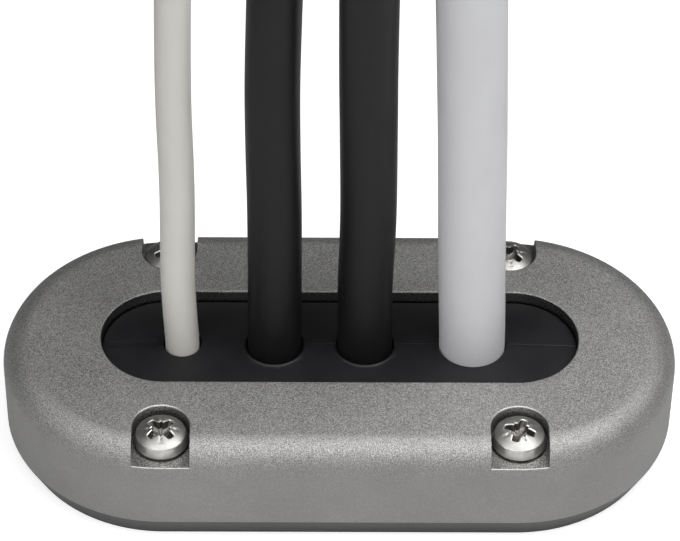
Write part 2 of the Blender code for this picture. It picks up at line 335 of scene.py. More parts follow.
@dataclass(frozen=True)
class MouldedRubber:
    """Dull black rubber with a faint mould texture and a trace of bloom."""

    name: str = "moulded_rubber"
    dark: Point3 = (0.0060, 0.0060, 0.0070)
    bloom: Point3 = (0.0105, 0.0105, 0.0122)
    roughness: Point2 = (0.44, 0.58)
    shine: float = 0.3
    grain: float = 0.35 * MM
    cloud: float = 6.0 * MM
    grain_depth: float = 0.010 * MM

    def build(self) -> Material:
        """Make the material.

        Returns:
            The material.
        """
        graph = NodeGraph(self.name)
        place = graph.place(None)
        cloud = graph.noise(place, self.cloud, detail=4.0, roughness=0.6)
        grain = graph.noise(place, self.grain, detail=2.0)
        graph.link(graph.blend(graph.spread(cloud, NOISE_MIDDLE, UNIT), self.dark, self.bloom),
                   graph.shader.inputs["Base Color"])
        graph.link(graph.spread(grain, NOISE_MIDDLE, self.roughness), graph.shader.inputs["Roughness"])
        graph.shader.inputs["Specular IOR Level"].default_value = self.shine
        graph.link(graph.bump(grain, self.grain_depth), graph.shader.inputs["Normal"])
        return graph.material


@dataclass(frozen=True)
class StainlessSteel:
    """Bright stainless steel, tumbled after forging, with fine scuffs."""

    name: str = "stainless_steel"
    dark: Point3 = (0.37, 0.36, 0.345)
    light: Point3 = (0.47, 0.465, 0.45)
    roughness: Point2 = (0.42, 0.54)
    scuff: float = 0.5 * MM
    cloud: float = 1.6 * MM
    scuff_depth: float = 0.004 * MM
    scuff_range: Point2 = (0.35, 0.7)
    stretch: Point3 = (1.0, 3.0, 1.0)

    def build(self) -> Material:
        """Make the material.

        Returns:
            The material.
        """
        graph = NodeGraph(self.name)
        place = graph.place(None)
        cloud = graph.noise(place, self.cloud, detail=3.0)
        scuff = graph.noise(graph.place(None, self.stretch), self.scuff, detail=3.0, roughness=0.6)
        graph.link(graph.blend(graph.spread(cloud, NOISE_MIDDLE, UNIT), self.dark, self.light),
                   graph.shader.inputs["Base Color"])
        graph.link(graph.spread(scuff, self.scuff_range, self.roughness), graph.shader.inputs["Roughness"])
        graph.shader.inputs["Metallic"].default_value = 1.0
        graph.link(graph.bump(scuff, self.scuff_depth), graph.shader.inputs["Normal"])
        return graph.material


@dataclass(frozen=True)
class RecessPaintedShade:
    """Dull brownish finish of the screws' recesses, painted darker than the steel as shade, with upright
    streaks.
    """

    name: str = "recess_film"
    dark: Point3 = (0.075, 0.067, 0.060)
    light: Point3 = (0.300, 0.288, 0.272)
    roughness: Point2 = (0.42, 0.58)
    streak: float = 0.26 * MM
    streak_depth: float = 0.03 * MM
    streak_range: Point2 = (0.35, 0.68)
    stretch: Point3 = (1.0, 1.0, 0.12)

    def build(self) -> Material:
        """Make the material.

        Returns:
            The material.
        """
        graph = NodeGraph(self.name)
        streaks = graph.noise(graph.place(None, self.stretch), self.streak, detail=2.0, roughness=0.6)
        graph.link(graph.blend(graph.spread(streaks, self.streak_range, UNIT), self.dark, self.light),
                   graph.shader.inputs["Base Color"])
        graph.link(graph.spread(streaks, NOISE_MIDDLE, self.roughness), graph.shader.inputs["Roughness"])
        graph.shader.inputs["Metallic"].default_value = 1.0
        graph.link(graph.bump(streaks, self.streak_depth), graph.shader.inputs["Normal"])
        return graph.material


@dataclass(frozen=True)
class ExtrudedJacket:
    """Extruded cable jacket: faint streaks along it, slight unevenness, and painted shade that darkens it
    towards its upper end.
    """

    name: str
    base: Point3
    shade: Point3
    roughness: Point2
    shine: float = 0.5
    painted_shade_tone: Point2 = (1.0, 1.0)
    painted_shade_heights: Point2 = (20.0 * MM, 105.0 * MM)
    streak: float = 0.9 * MM
    cloud: float = 7.0 * MM
    streak_depth: float = 0.012 * MM
    streak_stretch: Point3 = (1.0, 1.0, 0.06)
    cloud_stretch: Point3 = (1.0, 1.0, 0.5)
    fine_size: float = 0.35
    fine_depth: float = 0.4

    def build(self) -> Material:
        """Make the material.

        Returns:
            The material.
        """
        graph = NodeGraph(self.name)
        streaks = graph.noise(graph.place("jacket", self.streak_stretch), self.streak, detail=2.0)
        cloud = graph.noise(graph.place("jacket", self.cloud_stretch), self.cloud, detail=4.0, roughness=0.6)
        grain = graph.noise(graph.place("jacket"), self.streak * self.fine_size, detail=1.0)
        colour = graph.blend(graph.spread(cloud, NOISE_MIDDLE, UNIT), self.base, self.shade)
        # painted shade: the colour dims between the two heights, towards the upper end
        tone = graph.spread(graph.height(graph.place("jacket")), self.painted_shade_heights, self.painted_shade_tone)
        graph.link(graph.scale_colour(colour, tone), graph.shader.inputs["Base Color"])
        graph.link(graph.spread(cloud, NOISE_MIDDLE, self.roughness), graph.shader.inputs["Roughness"])
        graph.shader.inputs["Specular IOR Level"].default_value = self.shine
        fine = graph.bump(grain, self.streak_depth * self.fine_depth)
        graph.link(graph.bump(streaks, self.streak_depth, below=fine), graph.shader.inputs["Normal"])
        return graph.material


@dataclass(frozen=True)
class CableCore:
    """Finish of what a cut cable shows: wire insulation, filler or bare copper strands."""

    name: str
    base: Point3
    roughness: float
    metallic: float = 0.0
    grain: float = 0.25 * MM
    grain_depth: float = 0.03 * MM
    shading: float = 0.7

    def build(self) -> Material:
        """Make the material.

        Returns:
            The material.
        """
        graph = NodeGraph(self.name)
        grain = graph.noise(graph.place(None), self.grain, detail=2.0)
        shade = tuple(self.shading * channel for channel in self.base)
        graph.link(graph.blend(graph.spread(grain, NOISE_MIDDLE, UNIT), self.base, shade),
                   graph.shader.inputs["Base Color"])
        graph.shader.inputs["Roughness"].default_value = self.roughness
        graph.shader.inputs["Metallic"].default_value = self.metallic
        graph.link(graph.bump(grain, self.grain_depth), graph.shader.inputs["Normal"])
        return graph.material


class MeshBuilder:
    """Points and faces of one piece, gathered before Blender's mesh is made."""

    def __init__(self) -> None:
        """Start with an empty bmesh."""
        self.bm = bmesh.new()

    def face(self, points: Iterable[Point3], material: int = 0) -> None:
        """Add one face from its own points; equal points are merged later."""
        verts = [self.bm.verts.new(point) for point in points]
        self.bm.faces.new(verts).material_index = material

    def strip(self, first: Sequence[Point3], second: Sequence[Point3], closed: bool = False,
              material: int = 0) -> None:
        """Join two rows of points with a band of quads.

        Args:
            first: one row.
            second: the other row, with as many points.
            closed: join the last point to the first.
            material: number of the material slot.
        """
        count = len(first)
        for i in range(count if closed else count - 1):
            j = (i + 1) % count
            self.face((first[i], first[j], second[j], second[i]), material)

    def tube(self, rings: Sequence[Sequence[Point3]], material: int = 0) -> None:
        """Join closed rings in order."""
        for first, second in zip(rings, rings[1:]):
            self.strip(first, second, closed=True, material=material)

    def finish(self, name: str, finishes: Sequence[Material], merge: float = 0.002 * MM,
               outwards: bool = True) -> Piece:
        """Merge equal points, drop faces without area and make the object.

        Args:
            name: name of the piece.
            finishes: materials in slot order.
            merge: distance under which points are one.
            outwards: turn all faces outwards.

        Returns:
            The new object, at the origin.
        """
        bmesh.ops.remove_doubles(self.bm, verts=self.bm.verts, dist=merge)
        bmesh.ops.dissolve_degenerate(self.bm, edges=self.bm.edges, dist=merge * 0.1)
        if outwards:
            bmesh.ops.recalc_face_normals(self.bm, faces=self.bm.faces)
        mesh = bpy.data.meshes.new(name)
        self.bm.to_mesh(mesh)
        self.bm.free()
        for finish in finishes:
            mesh.materials.append(finish)
        piece = bpy.data.objects.new(name, mesh)
        bpy.context.scene.collection.objects.link(piece)
        return piece


def make_plain(piece: Piece) -> Piece:
    """Turn a piece with modifiers into a plain mesh.

    Args:
        piece: object whose modifiers are to be kept in its mesh.

    Returns:
        The same object, with the evaluated mesh and no modifiers.
    """
    bpy.context.view_layer.update()
    evaluated = piece.evaluated_get(bpy.context.evaluated_depsgraph_get())
    mesh = bpy.data.meshes.new_from_object(evaluated)
    mesh.name = piece.name
    piece.modifiers.clear()
    piece.data = mesh
    return piece


def shade(piece: Piece, style: Shade) -> Piece:
    """Shade a piece smooth up to an angle, with normals that follow its large faces.

    Args:
        piece: object to shade.
        style: how sharp an edge may be and still look rounded.

    Returns:
        The same object.
    """
    piece.data.shade_smooth()
    piece.data.set_sharp_from_angle(angle=style.value)
    weighted = piece.modifiers.new("weighted", "WEIGHTED_NORMAL")
    weighted.mode = "FACE_AREA"
    weighted.weight = 50
    weighted.keep_sharp = True
    return make_plain(piece)


def cut(piece: Piece, cutter: Piece) -> None:
    """Subtract a closed solid from a piece and remove the cutter.

    Args:
        piece: object to cut.
        cutter: closed object, which is removed.
    """
    boolean = piece.modifiers.new("cut", "BOOLEAN")
    boolean.operation = "DIFFERENCE"
    boolean.solver = "EXACT"
    boolean.object = cutter
    make_plain(piece)
    bpy.data.objects.remove(cutter, do_unlink=True)


def dress(piece: Piece, slot: Slot, *nodes: str) -> None:
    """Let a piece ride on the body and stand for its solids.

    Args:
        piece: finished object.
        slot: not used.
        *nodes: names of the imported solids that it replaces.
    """
    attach(piece, BODY)
    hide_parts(*nodes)
    LOG.info("%s: %d faces, stands for %s", piece.name, len(piece.data.polygons), ", ".join(nodes))


@dataclass(frozen=True)
class Corner:
    """Corner of a section: place, radius of its rounding and steps round it."""

    out: float
    height: float
    radius: float = 0.0
    steps: int = 1


class Section:
    """Closed section of straight runs and rounded corners; its outside is on the left."""

    def __init__(self, corners: Sequence[Corner]) -> None:
        """Work out runs and arcs.

        Args:
            corners: corners in order.
        """
        self.parts: list[tuple[float, Callable[[float], tuple[Vector, Vector]], int]] = []
        places = [Vector((corner.out, corner.height)) for corner in corners]
        count = len(corners)
        ends = []
        for i, corner in enumerate(corners):
            back = (places[i - 1] - places[i]).normalized()
            ahead = (places[(i + 1) % count] - places[i]).normalized()
            half_turn = (math.pi - back.angle(ahead)) / 2
            reach = corner.radius * math.tan(half_turn)
            ends.append((places[i] + back * reach, places[i] + ahead * reach))
        for i, corner in enumerate(corners):
            arc_start, arc_end = ends[i]
            if corner.radius:
                self._add_arc(arc_start, arc_end, corner, places[i])
            self._add_run(arc_end, ends[(i + 1) % count][0])
        self.length = sum(length for length, _, _ in self.parts)

    def _add_run(self, start: Vector, end: Vector) -> None:
        """Add a straight run.

        Args:
            start: its first point.
            end: its last point.
        """
        along = (end - start).normalized()
        normal = Vector((-along.y, along.x))
        self.parts.append(((end - start).length, lambda share: (start.lerp(end, share), normal), 0))

    def _add_arc(self, start: Vector, end: Vector, corner: Corner, tip: Vector) -> None:
        """Add a rounded corner.

        Args:
            start: first point of the arc.
            end: last point of the arc.
            corner: radius and steps.
            tip: place of the sharp corner.
        """
        chord = (start + end) / 2
        to_centre = (chord - tip).normalized()
        half = (end - start).length / 2
        depth = math.sqrt(corner.radius ** 2 - half ** 2)
        centre = chord + to_centre * depth
        first, last = (start - centre).normalized(), (end - centre).normalized()
        sweep = first.angle(last)
        along = end - start
        convex = -1.0 if along.x * to_centre.y - along.y * to_centre.x > 0 else 1.0

        def at(share: float) -> tuple[Vector, Vector]:
            """Point and normal on the arc."""
            turn = first.slerp(last, share) if sweep > 1e-6 else first
            return centre + turn * corner.radius, turn * convex

        self.parts.append((corner.radius * sweep, at, corner.steps))

    def at(self, length: float) -> tuple[Vector, Vector]:
        """Read the section at a length along it.

        Args:
            length: distance from its start.

        Returns:
            The point (out, height) and the outward normal there.
        """
        for part_length, part, _ in self.parts:
            if length <= part_length + 1e-12:
                return part(min(max(length / part_length, 0.0), 1.0))
            length -= part_length
        return self.parts[-1][1](1.0)

    def stops(self, spacing: float) -> list[float]:
        """List lengths at which a mesh gets a row of points.

        Args:
            spacing: longest gap on a straight run.

        Returns:
            The lengths, without the closing one.
        """
        lengths = []
        start = 0.0
        for part_length, _, steps in self.parts:
            count = steps or max(1, math.ceil(part_length / spacing))
            lengths += [start + part_length * i / count for i in range(count)]
            start += part_length
        return lengths


@dataclass(frozen=True)
class Stadium:
    """Outline of the cable opening: two half circles joined by straight sides."""

    arc_centre_x: float
    half_width: float

    def ring(self, out: float, height: float, segments: int) -> list[Point3]:
        """Points of the outline moved outwards by out, at a height.

        Args:
            out: distance outwards; negative is inwards.
            height: height of all its points.
            segments: steps round each half circle.

        Returns:
            The points, anticlockwise seen from above.
        """
        radius = self.half_width + out
        points = []
        for end, start in ((1, -90.0), (-1, 90.0)):
            for i in range(segments + 1):
                angle = math.radians(start + 180.0 * i / segments)
                x = end * self.arc_centre_x + radius * math.cos(angle)
                points.append((x, radius * math.sin(angle), height))
        return points


def circle(x: float, y: float, radius: float, height: float, segments: int) -> list[Point3]:
    """Points of a level circle, anticlockwise seen from above."""
    angles = [math.tau * i / segments for i in range(segments)]
    return [(x + radius * math.cos(angle), y + radius * math.sin(angle), height) for angle in angles]


def rolled_edge(point: Vector, first: Vector, second: Vector, radius: float, steps: int) -> list[Vector]:
    """Round a sharp edge at one of its points.

    Args:
        point: point on the edge.
        first: outward normal of the first surface.
        second: outward normal of the second surface.
        radius: radius of the rounding.
        steps: number of steps round it.

    Returns:
        Points from the first surface to the second.
    """
    centre = point - (first + second) * (radius / (1.0 + first.dot(second)))
    return [centre + first.slerp(second, i / steps) * radius for i in range(steps + 1)]


def resample(points: Sequence[Vector], count: int) -> list[Vector]:
    """Read evenly spaced points from a line.

    Args:
        points: the line's own points, close together.
        count: number of equal gaps.

    Returns:
        The points, both ends included.
    """
    lengths = [0.0]
    for start, end in zip(points, points[1:]):
        lengths.append(lengths[-1] + (end - start).length)
    result = []
    index = 0
    for i in range(count + 1):
        target = lengths[-1] * i / count
        while index < len(lengths) - 2 and lengths[index + 1] < target:
            index += 1
        gap = lengths[index + 1] - lengths[index]
        result.append(points[index].lerp(points[index + 1], (target - lengths[index]) / gap))
    return result


def drawn_in(points: Sequence[Vector], distances: Sequence[float], side: int = 1) -> list[Vector]:
    """Move a closed outline inwards with mitred corners.

    Args:
        points: the outline, anticlockwise where side is 1.
        distances: how far each point's edges move; negative ones move outwards.
        side: 1, or -1 where the outline runs clockwise.

    Returns:
        The moved outline.
    """
    moved = []
    count = len(points)
    for i, (point, distance) in enumerate(zip(points, distances)):
        back = point - points[i - 1]
        ahead = points[(i + 1) % count] - point
        if back.length < 1e-9:
            back = point - points[i - 2]
        if ahead.length < 1e-9:
            ahead = points[(i + 2) % count] - point
        normals = [Vector((-step.y, step.x)).normalized() * side for step in (back, ahead)]
        total = normals[0] + normals[1]
        moved.append(point + total * (distance / max(1.0 + normals[0].dot(normals[1]), 0.5)))
    return moved


@dataclass
class Cover:
    """Cast cover with a rounded top edge, tapered foot, open screw pockets and ribs inside.

    Sizes named out are measured outwards from the edge of the cable opening, and heights upwards
    from the deck. One quarter is built and mirrored.
    """

    length: float
    width: float
    height: float
    out: float = 18.55 * MM
    top_round: float = 5.2 * MM
    rim_round: float = 0.32 * MM
    edge_round: float = 0.3 * MM
    foot_height: float = 5.4 * MM
    foot_inset: float = 2.55 * MM
    fold_round: float = 2.2 * MM
    plate_under: float = 18.34 * MM
    collar_in: float = 3.5 * MM
    collar_wall: float = 2.0 * MM
    flange_out: float = 6.5 * MM
    flange_height: float = 3.3 * MM
    screw_out: float = 11.73 * MM
    screw_hole_radius: float = 2.9 * MM
    boss_wall: float = 2.33 * MM
    foot_land: float = 2.6 * MM
    cavity_draft: float = 0.35 * MM
    rib_thickness: float = 2.0 * MM
    rib_lift: float = 2.5 * MM
    pocket_radius: float = 5.33 * MM
    pocket_floor: float = 19.74 * MM
    pocket_edge: Point2 = (0.10 * MM, 0.36 * MM)
    groove_in: float = 4.6 * MM
    groove_out: float = 5.18 * MM
    groove_depth: float = 0.7 * MM
    window_margin: float = 1.7 * MM
    window_angle: float = 17.5
    column_gap: float = 1.3 * MM
    row_gap: float = 0.9 * MM
    reach_radius: float = 26.0 * MM
    cut_margin: float = 1.0 * MM
    groove_rise: float = 0.15 * MM
    cavity_segments: int = 45
    groove_segments: int = 65
    post_segments: int = 48
    side_steps: int = 60
    arch_steps: int = 24
    rolled_steps: int = 4
    apron_steps: int = 6

    def __post_init__(self) -> None:
        """Work out the outline and the section."""
        self.stadium = Stadium((self.length - self.width) / 2, self.width / 2 - self.out)
        self.foot_out = self.out - self.foot_inset
        self.section = Section([
            Corner(0.0, self.plate_under),
            Corner(0.0, self.height, self.rim_round, 4),
            Corner(self.out, self.height, self.top_round, 18),
            Corner(self.out, self.foot_height, self.fold_round, 6),
            Corner(self.foot_out, 0.0, self.edge_round, 3),
            Corner(self.flange_out, 0.0),
            Corner(self.flange_out, self.flange_height),
            Corner(self.collar_in, self.flange_height),
            Corner(self.collar_in, self.plate_under),
        ])
        self.screw_y = self.stadium.half_width + self.screw_out
        self.flat_end = self.out - self.top_round
        self.round_base = self.height - self.top_round

    @classmethod
    def from_frame(cls) -> "Cover":
        """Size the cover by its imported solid."""
        low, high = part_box("cover")
        return cls(length=high.x - low.x, width=high.y - low.y, height=high.z - low.z)

    def station(self, reach: float, length: float) -> tuple[Vector, Vector]:
        """Read the outer skin of one quarter of the cover.

        Args:
            reach: distance along the cover from the screw's axis; past 0 it turns round the end.
            length: distance along the section.

        Returns:
            The point and the outward normal.
        """
        angle = math.pi / 2 - max(reach, 0.0) / self.reach_radius
        base = Vector((self.stadium.arc_centre_x + min(reach, 0.0), 0.0, 0.0))
        side = Vector((math.cos(angle), math.sin(angle), 0.0))
        place, normal = self.section.at(length)
        point = base + side * (self.stadium.half_width + place.x) + Vector((0.0, 0.0, place.y))
        return point, side * normal.x + Vector((0.0, 0.0, normal.y))

    def reach_of(self, point: Vector) -> float:
        """Find a point's distance along the cover.

        Args:
            point: point in the quarter with positive y.

        Returns:
            The distance from the screw's axis, as station takes it.
        """
        x = point.x - self.stadium.arc_centre_x
        if x <= 0.0:
            return x
        return (math.pi / 2 - math.atan2(point.y, x)) * self.reach_radius

    def out_of(self, point: Vector) -> float:
        """Find a point's distance outwards from the opening's edge."""
        x = max(point.x - self.stadium.arc_centre_x, 0.0)
        return math.hypot(x, point.y) - self.stadium.half_width

    def length_of(self, out: float, height: float) -> float:
        """Find the length along the section of a point on the top, its round edge or the wall.

        Args:
            out: distance outwards.
            height: height.

        Returns:
            The length along the section.
        """
        neck = self.height - self.rim_round - self.plate_under
        flat_start = neck + self.rim_round * math.pi / 2
        flat = self.flat_end - self.rim_round
        if out <= self.flat_end:
            return flat_start + out - self.rim_round
        if height >= self.round_base:
            angle = math.atan2(out - self.flat_end, height - self.round_base)
            return flat_start + flat + self.top_round * angle
        return flat_start + flat + self.top_round * math.pi / 2 + self.round_base - height

    def skin_height(self, out: float) -> float:
        """Height of the top or of its round edge at a distance outwards.

        Args:
            out: distance outwards.

        Returns:
            The height.
        """
        if out <= self.flat_end:
            return self.height
        return self.round_base + math.sqrt(max(self.top_round ** 2 - (out - self.flat_end) ** 2, 0.0))

    def on_skin(self, x: float, y: float) -> Vector:
        """Point of the outer skin above a place beside the screw's axis.

        Args:
            x: offset from the axis along the cover.
            y: offset from the axis outwards.

        Returns:
            The point.
        """
        point = Vector((self.stadium.arc_centre_x + x, self.screw_y + y, 0.0))
        point.z = self.skin_height(self.out_of(point))
        return point

    def floor_out(self) -> float:
        """Distance outwards at which the pocket's floor meets the skin."""
        return self.flat_end + math.sqrt(self.top_round ** 2 - (self.pocket_floor - self.round_base) ** 2)

    def pocket_side(self, sign: float) -> list[Vector]:
        """Edge of the pocket from its front corner to a quarter round its arch.

        Args:
            sign: -1 for the side towards the middle, 1 for the side towards the end.

        Returns:
            Points close together.
        """
        radius = self.stadium.half_width + self.floor_out()
        x = sign * self.pocket_radius
        front = radius if sign < 0 else math.sqrt(radius ** 2 - self.pocket_radius ** 2)
        front -= self.screw_y
        points = [self.on_skin(x, front * (1 - i / self.side_steps)) for i in range(self.side_steps)]
        for i in range(self.arch_steps + 1):
            angle = math.radians(45.0 * i / self.arch_steps)
            points.append(self.on_skin(x * math.cos(angle), -self.pocket_radius * math.sin(angle)))
        return points

    def pocket_edge_points(self, columns: int, rows: int) -> list[tuple[Vector, Vector]]:
        """Sharp edge of the pocket, each point with the pocket's own outward normal.

        Args:
            columns: gaps along the arch's back and along the floor's front edge.
            rows: gaps along each side.

        Returns:
            Points and normals, round the pocket.
        """
        axis = Vector((self.stadium.arc_centre_x, self.screw_y, 0.0))
        left = resample(self.pocket_side(-1.0), rows)
        right = resample(self.pocket_side(1.0), rows)
        back = []
        for i in range(1, columns):
            angle = math.radians(225.0 + 90.0 * i / columns)
            across, along = math.cos(angle), math.sin(angle)
            back.append(self.on_skin(self.pocket_radius * across, self.pocket_radius * along))
        walls = left + back + right[::-1]
        result = []
        for point in walls:
            aside = Vector((axis.x - point.x, max(axis.y - point.y, 0.0), 0.0))
            result.append((point, aside.normalized()))
        radius = self.stadium.half_width + self.floor_out()
        start, end = right[0], left[0]
        for i in range(columns + 1):
            x = start.x + (end.x - start.x) * i / columns
            beyond = max(x - self.stadium.arc_centre_x, 0.0)
            point = Vector((x, math.sqrt(radius ** 2 - beyond ** 2), self.pocket_floor))
            result.append((point, Vector((0.0, 0.0, 1.0))))
        return result

    def skin_rows(self) -> list[float]:
        """Lengths along the section at which the skin has rows, the window's ends among them.

        Returns:
            The lengths in rising order.
        """
        lengths = self.section.stops(self.row_gap)
        first, last = self.window_rows()
        least = 0.35 * self.row_gap
        kept = [length for length in lengths if min(abs(length - first), abs(length - last)) > least]
        return sorted(kept + [first, last])

    def window_rows(self) -> Point2:
        """Lengths along the section where the window round a pocket starts and ends.

        Returns:
            Both lengths.
        """
        top = self.length_of(self.screw_out - self.pocket_radius - self.window_margin, self.height)
        bottom = self.length_of(self.out, self.pocket_floor - 2 * self.window_margin)
        return top, bottom

    def skin_columns(self) -> list[float]:
        """Reaches at which the skin has columns, the window's ends among them.

        Returns:
            The reaches in rising order.
        """
        first = -self.pocket_radius - self.window_margin
        last = math.radians(self.window_angle) * self.reach_radius
        end = math.pi / 2 * self.reach_radius
        fine = self.column_gap * 0.7
        spans = ((-self.stadium.arc_centre_x, first, 2 * self.column_gap), (first, 0.0, fine),
                 (0.0, last, fine), (last, end, self.column_gap))
        columns = []
        for start, stop, gap in spans:
            count = math.ceil((stop - start) / gap)
            columns += [start + (stop - start) * i / count for i in range(count)]
        return columns + [end]

    def quarter(self) -> list[list[Vector]]:
        """Faces of the solid cover in the quarter with positive x and y.

        Returns:
            The faces, each a list of points.
        """
        columns, rows = self.skin_columns(), self.skin_rows()
        left = -self.pocket_radius - self.window_margin
        right = math.radians(self.window_angle) * self.reach_radius
        top, bottom = self.window_rows()
        tiny = 1e-9
        in_columns = [c for c in columns if left - tiny <= c <= right + tiny]
        in_rows = [r for r in rows if top - tiny <= r <= bottom + tiny]
        grid = [[self.station(c, r)[0] for r in rows] for c in columns]
        faces = []
        for i in range(len(columns) - 1):
            for j in range(len(rows)):
                k = (j + 1) % len(rows)
                inside = left - tiny <= columns[i] < right - tiny and top - tiny <= rows[j] < bottom - tiny
                if not inside:
                    faces.append([grid[i][j], grid[i][k], grid[i + 1][k], grid[i + 1][j]])
        faces += self.pocket_faces(in_columns, in_rows)
        return faces

    def window_frame(self, columns: Sequence[float], rows: Sequence[float]) -> list[Point2]:
        """List the window's edge in the order of the pocket's edge points.

        Args:
            columns: reaches of the window's columns.
            rows: lengths of the window's rows.

        Returns:
            Pairs of reach and length.
        """
        left = [(columns[0], row) for row in reversed(rows)]
        back = [(column, rows[0]) for column in columns[1:-1]]
        right = [(columns[-1], row) for row in rows]
        front = [(column, rows[-1]) for column in reversed(columns)]
        return left + back + right + front

    def apron_line(self, start: Point2, end: Point2) -> list[Vector]:
        """Draw a line on the skin.

        Args:
            start: reach and length of its first point.
            end: reach and length of its last point.

        Returns:
            Its points.
        """
        line = []
        for i in range(self.apron_steps + 1):
            share = i / self.apron_steps
            reach, length = (a + (b - a) * share for a, b in zip(start, end))
            line.append(self.station(reach, length)[0])
        return line

    def pocket_lines(self, columns: Sequence[float],
                     rows: Sequence[float]) -> tuple[list[list[Vector]], list[list[Vector]]]:
        """Lines across the pocket's edge, one at each of its points.

        Args:
            columns: reaches of the window's columns.
            rows: lengths of the window's rows.

        Returns:
            The lines over the rolled edge, and those on the skin from the edge to the window.
        """
        edge = self.pocket_edge_points(len(columns) - 1, len(rows) - 1)
        sharp, soft = self.pocket_edge
        rolled, skin = [], []
        for (point, wall_normal), window_place in zip(edge, self.window_frame(columns, rows)):
            _, skin_normal = self.station(self.reach_of(point), self.length_of(self.out_of(point), point.z))
            edge_radius = sharp + (soft - sharp) * max(wall_normal.y, 0.5 * wall_normal.z, 0.0)
            arc = rolled_edge(point, skin_normal, wall_normal, edge_radius, self.rolled_steps)
            start = (self.reach_of(arc[0]), self.length_of(self.out_of(arc[0]), arc[0].z))
            line = self.apron_line(start, window_place)
            arc[0] = line[0]
            if wall_normal.z < 0.5:
                for place in arc:
                    place.z = max(place.z, self.pocket_floor)
            rolled.append(arc)
            skin.append(line)
        return rolled, skin

    def pocket_faces(self, columns: Sequence[float], rows: Sequence[float]) -> list[list[Vector]]:
        """Faces of one pocket and of the skin between it and its window.

        Args:
            columns: reaches of the window's columns.
            rows: lengths of the window's rows.

        Returns:
            The faces.
        """
        rolled, skin = self.pocket_lines(columns, rows)
        faces = []
        count = len(rolled)
        for i in range(count):
            j = (i + 1) % count
            for lines in (skin, rolled):
                for k in range(len(lines[0]) - 1):
                    faces.append([lines[i][k], lines[j][k], lines[j][k + 1], lines[i][k + 1]])
        for i in range(count - len(columns) - 1):
            a, b = rolled[i][-1], rolled[i + 1][-1]
            foot_a, foot_b = a.copy(), b.copy()
            foot_a.z = foot_b.z = self.pocket_floor
            faces.append([a, b, foot_b, foot_a])
        floor = []
        for line in rolled:
            foot = line[-1].copy()
            foot.z = self.pocket_floor
            floor.append(foot)
        faces.append(floor)
        return faces

    def blank(self, finishes: Sequence[Material]) -> Piece:
        """Build the cover before its cavity and screw holes are cut.

        Args:
            finishes: materials in slot order.

        Returns:
            The solid casting.
        """
        builder = MeshBuilder()
        faces = self.quarter()
        for sign_x in (1.0, -1.0):
            for sign_y in (1.0, -1.0):
                for points in faces:
                    ordered = points if sign_x * sign_y > 0 else points[::-1]
                    builder.face([(sign_x * p.x, sign_y * p.y, p.z) for p in ordered])
        return builder.finish("cover_casting", finishes)

    def block(self, low: Point3, high: Point3, centre_x: float, angle: float) -> Piece:
        """Build a plain block used to keep a rib, turned about an upright axis.

        Args:
            low: its low corner, before it is turned.
            high: its high corner.
            centre_x: place of the axis along the cover.
            angle: turn in degrees.

        Returns:
            The block.
        """
        builder = MeshBuilder()
        ring = [(low[0], low[1]), (high[0], low[1]), (high[0], high[1]), (low[0], high[1])]
        bottom = [(x, y, low[2]) for x, y in ring]
        top = [(x, y, high[2]) for x, y in ring]
        builder.strip(bottom, top, closed=True)
        builder.face(bottom)
        builder.face(top)
        piece = builder.finish("rib_space", [])
        turn = Matrix.Rotation(math.radians(angle), 4, "Z")
        piece.data.transform(Matrix.Translation((centre_x, 0.0, 0.0)) @ turn)
        return piece

    def post(self, radius: float, x: float, y: float, low: float, high: float) -> Piece:
        """Build an upright round post used as a cutter.

        Args:
            radius: its radius.
            x: place of its axis along the cover.
            y: place of its axis across the cover.
            low: height of its foot.
            high: height of its top.

        Returns:
            The post.
        """
        builder = MeshBuilder()
        rings = [circle(x, y, radius, z, self.post_segments) for z in (low, high)]
        builder.tube(rings)
        for ring in rings:
            builder.face(ring)
        return builder.finish("post_space", [])

    def cavity(self) -> Piece:
        """Build the hollow between collar and outer wall, interrupted by ribs and bosses.

        Returns:
            The hollow.
        """
        margin = self.cut_margin
        collar_out = self.collar_in + self.collar_wall
        cavity_out = self.foot_out - self.foot_land
        rings = [self.stadium.ring(out, z, self.cavity_segments) for out, z in (
            (collar_out, -margin), (cavity_out, -margin),
            (cavity_out - self.cavity_draft, self.plate_under), (collar_out, self.plate_under))]
        builder = MeshBuilder()
        builder.tube(rings + [rings[0]])
        cavity = builder.finish("cavity_space", [])
        inner = self.stadium.half_width + collar_out - self.collar_wall / 2
        outer = self.stadium.half_width + cavity_out + self.foot_land / 2
        low = (inner, -self.rib_thickness / 2, self.rib_lift)
        high = (outer, self.rib_thickness / 2, self.plate_under + margin)
        ribs = [(place * self.stadium.arc_centre_x, facing) for facing in (-90.0, 90.0)
                for place in (-1.0, -0.5, 0.0, 0.5, 1.0)]
        ribs += [(end * self.stadium.arc_centre_x, 90.0 - 90.0 * end + turn) for end in (-1, 1)
                 for turn in (-45.0, 0.0, 45.0)]
        for centre_x, angle in ribs:
            cut(cavity, self.block(low, high, centre_x, angle))
        for x in (-1, 1):
            for y in (-1, 1):
                cut(cavity, self.post(self.screw_hole_radius + self.boss_wall, x * self.stadium.arc_centre_x,
                                      y * self.screw_y, -2 * margin, self.plate_under + margin))
        return cavity

    def groove(self, x: float, y: float) -> Piece:
        """Build the ring that cuts the groove round a screw's seat in the pocket floor.

        Args:
            x: place of the screw along the cover.
            y: place of the screw across the cover.

        Returns:
            The ring.
        """
        low, high = self.pocket_floor - self.groove_depth, self.pocket_floor + self.groove_rise
        near, far = self.groove_in, self.groove_out
        profile = ((near, low), (far, low), (far, high), (near, high))
        rings = [circle(x, y, radius, z, self.groove_segments) for radius, z in profile]
        builder = MeshBuilder()
        builder.tube(rings + [rings[0]])
        return builder.finish("groove_space", [])

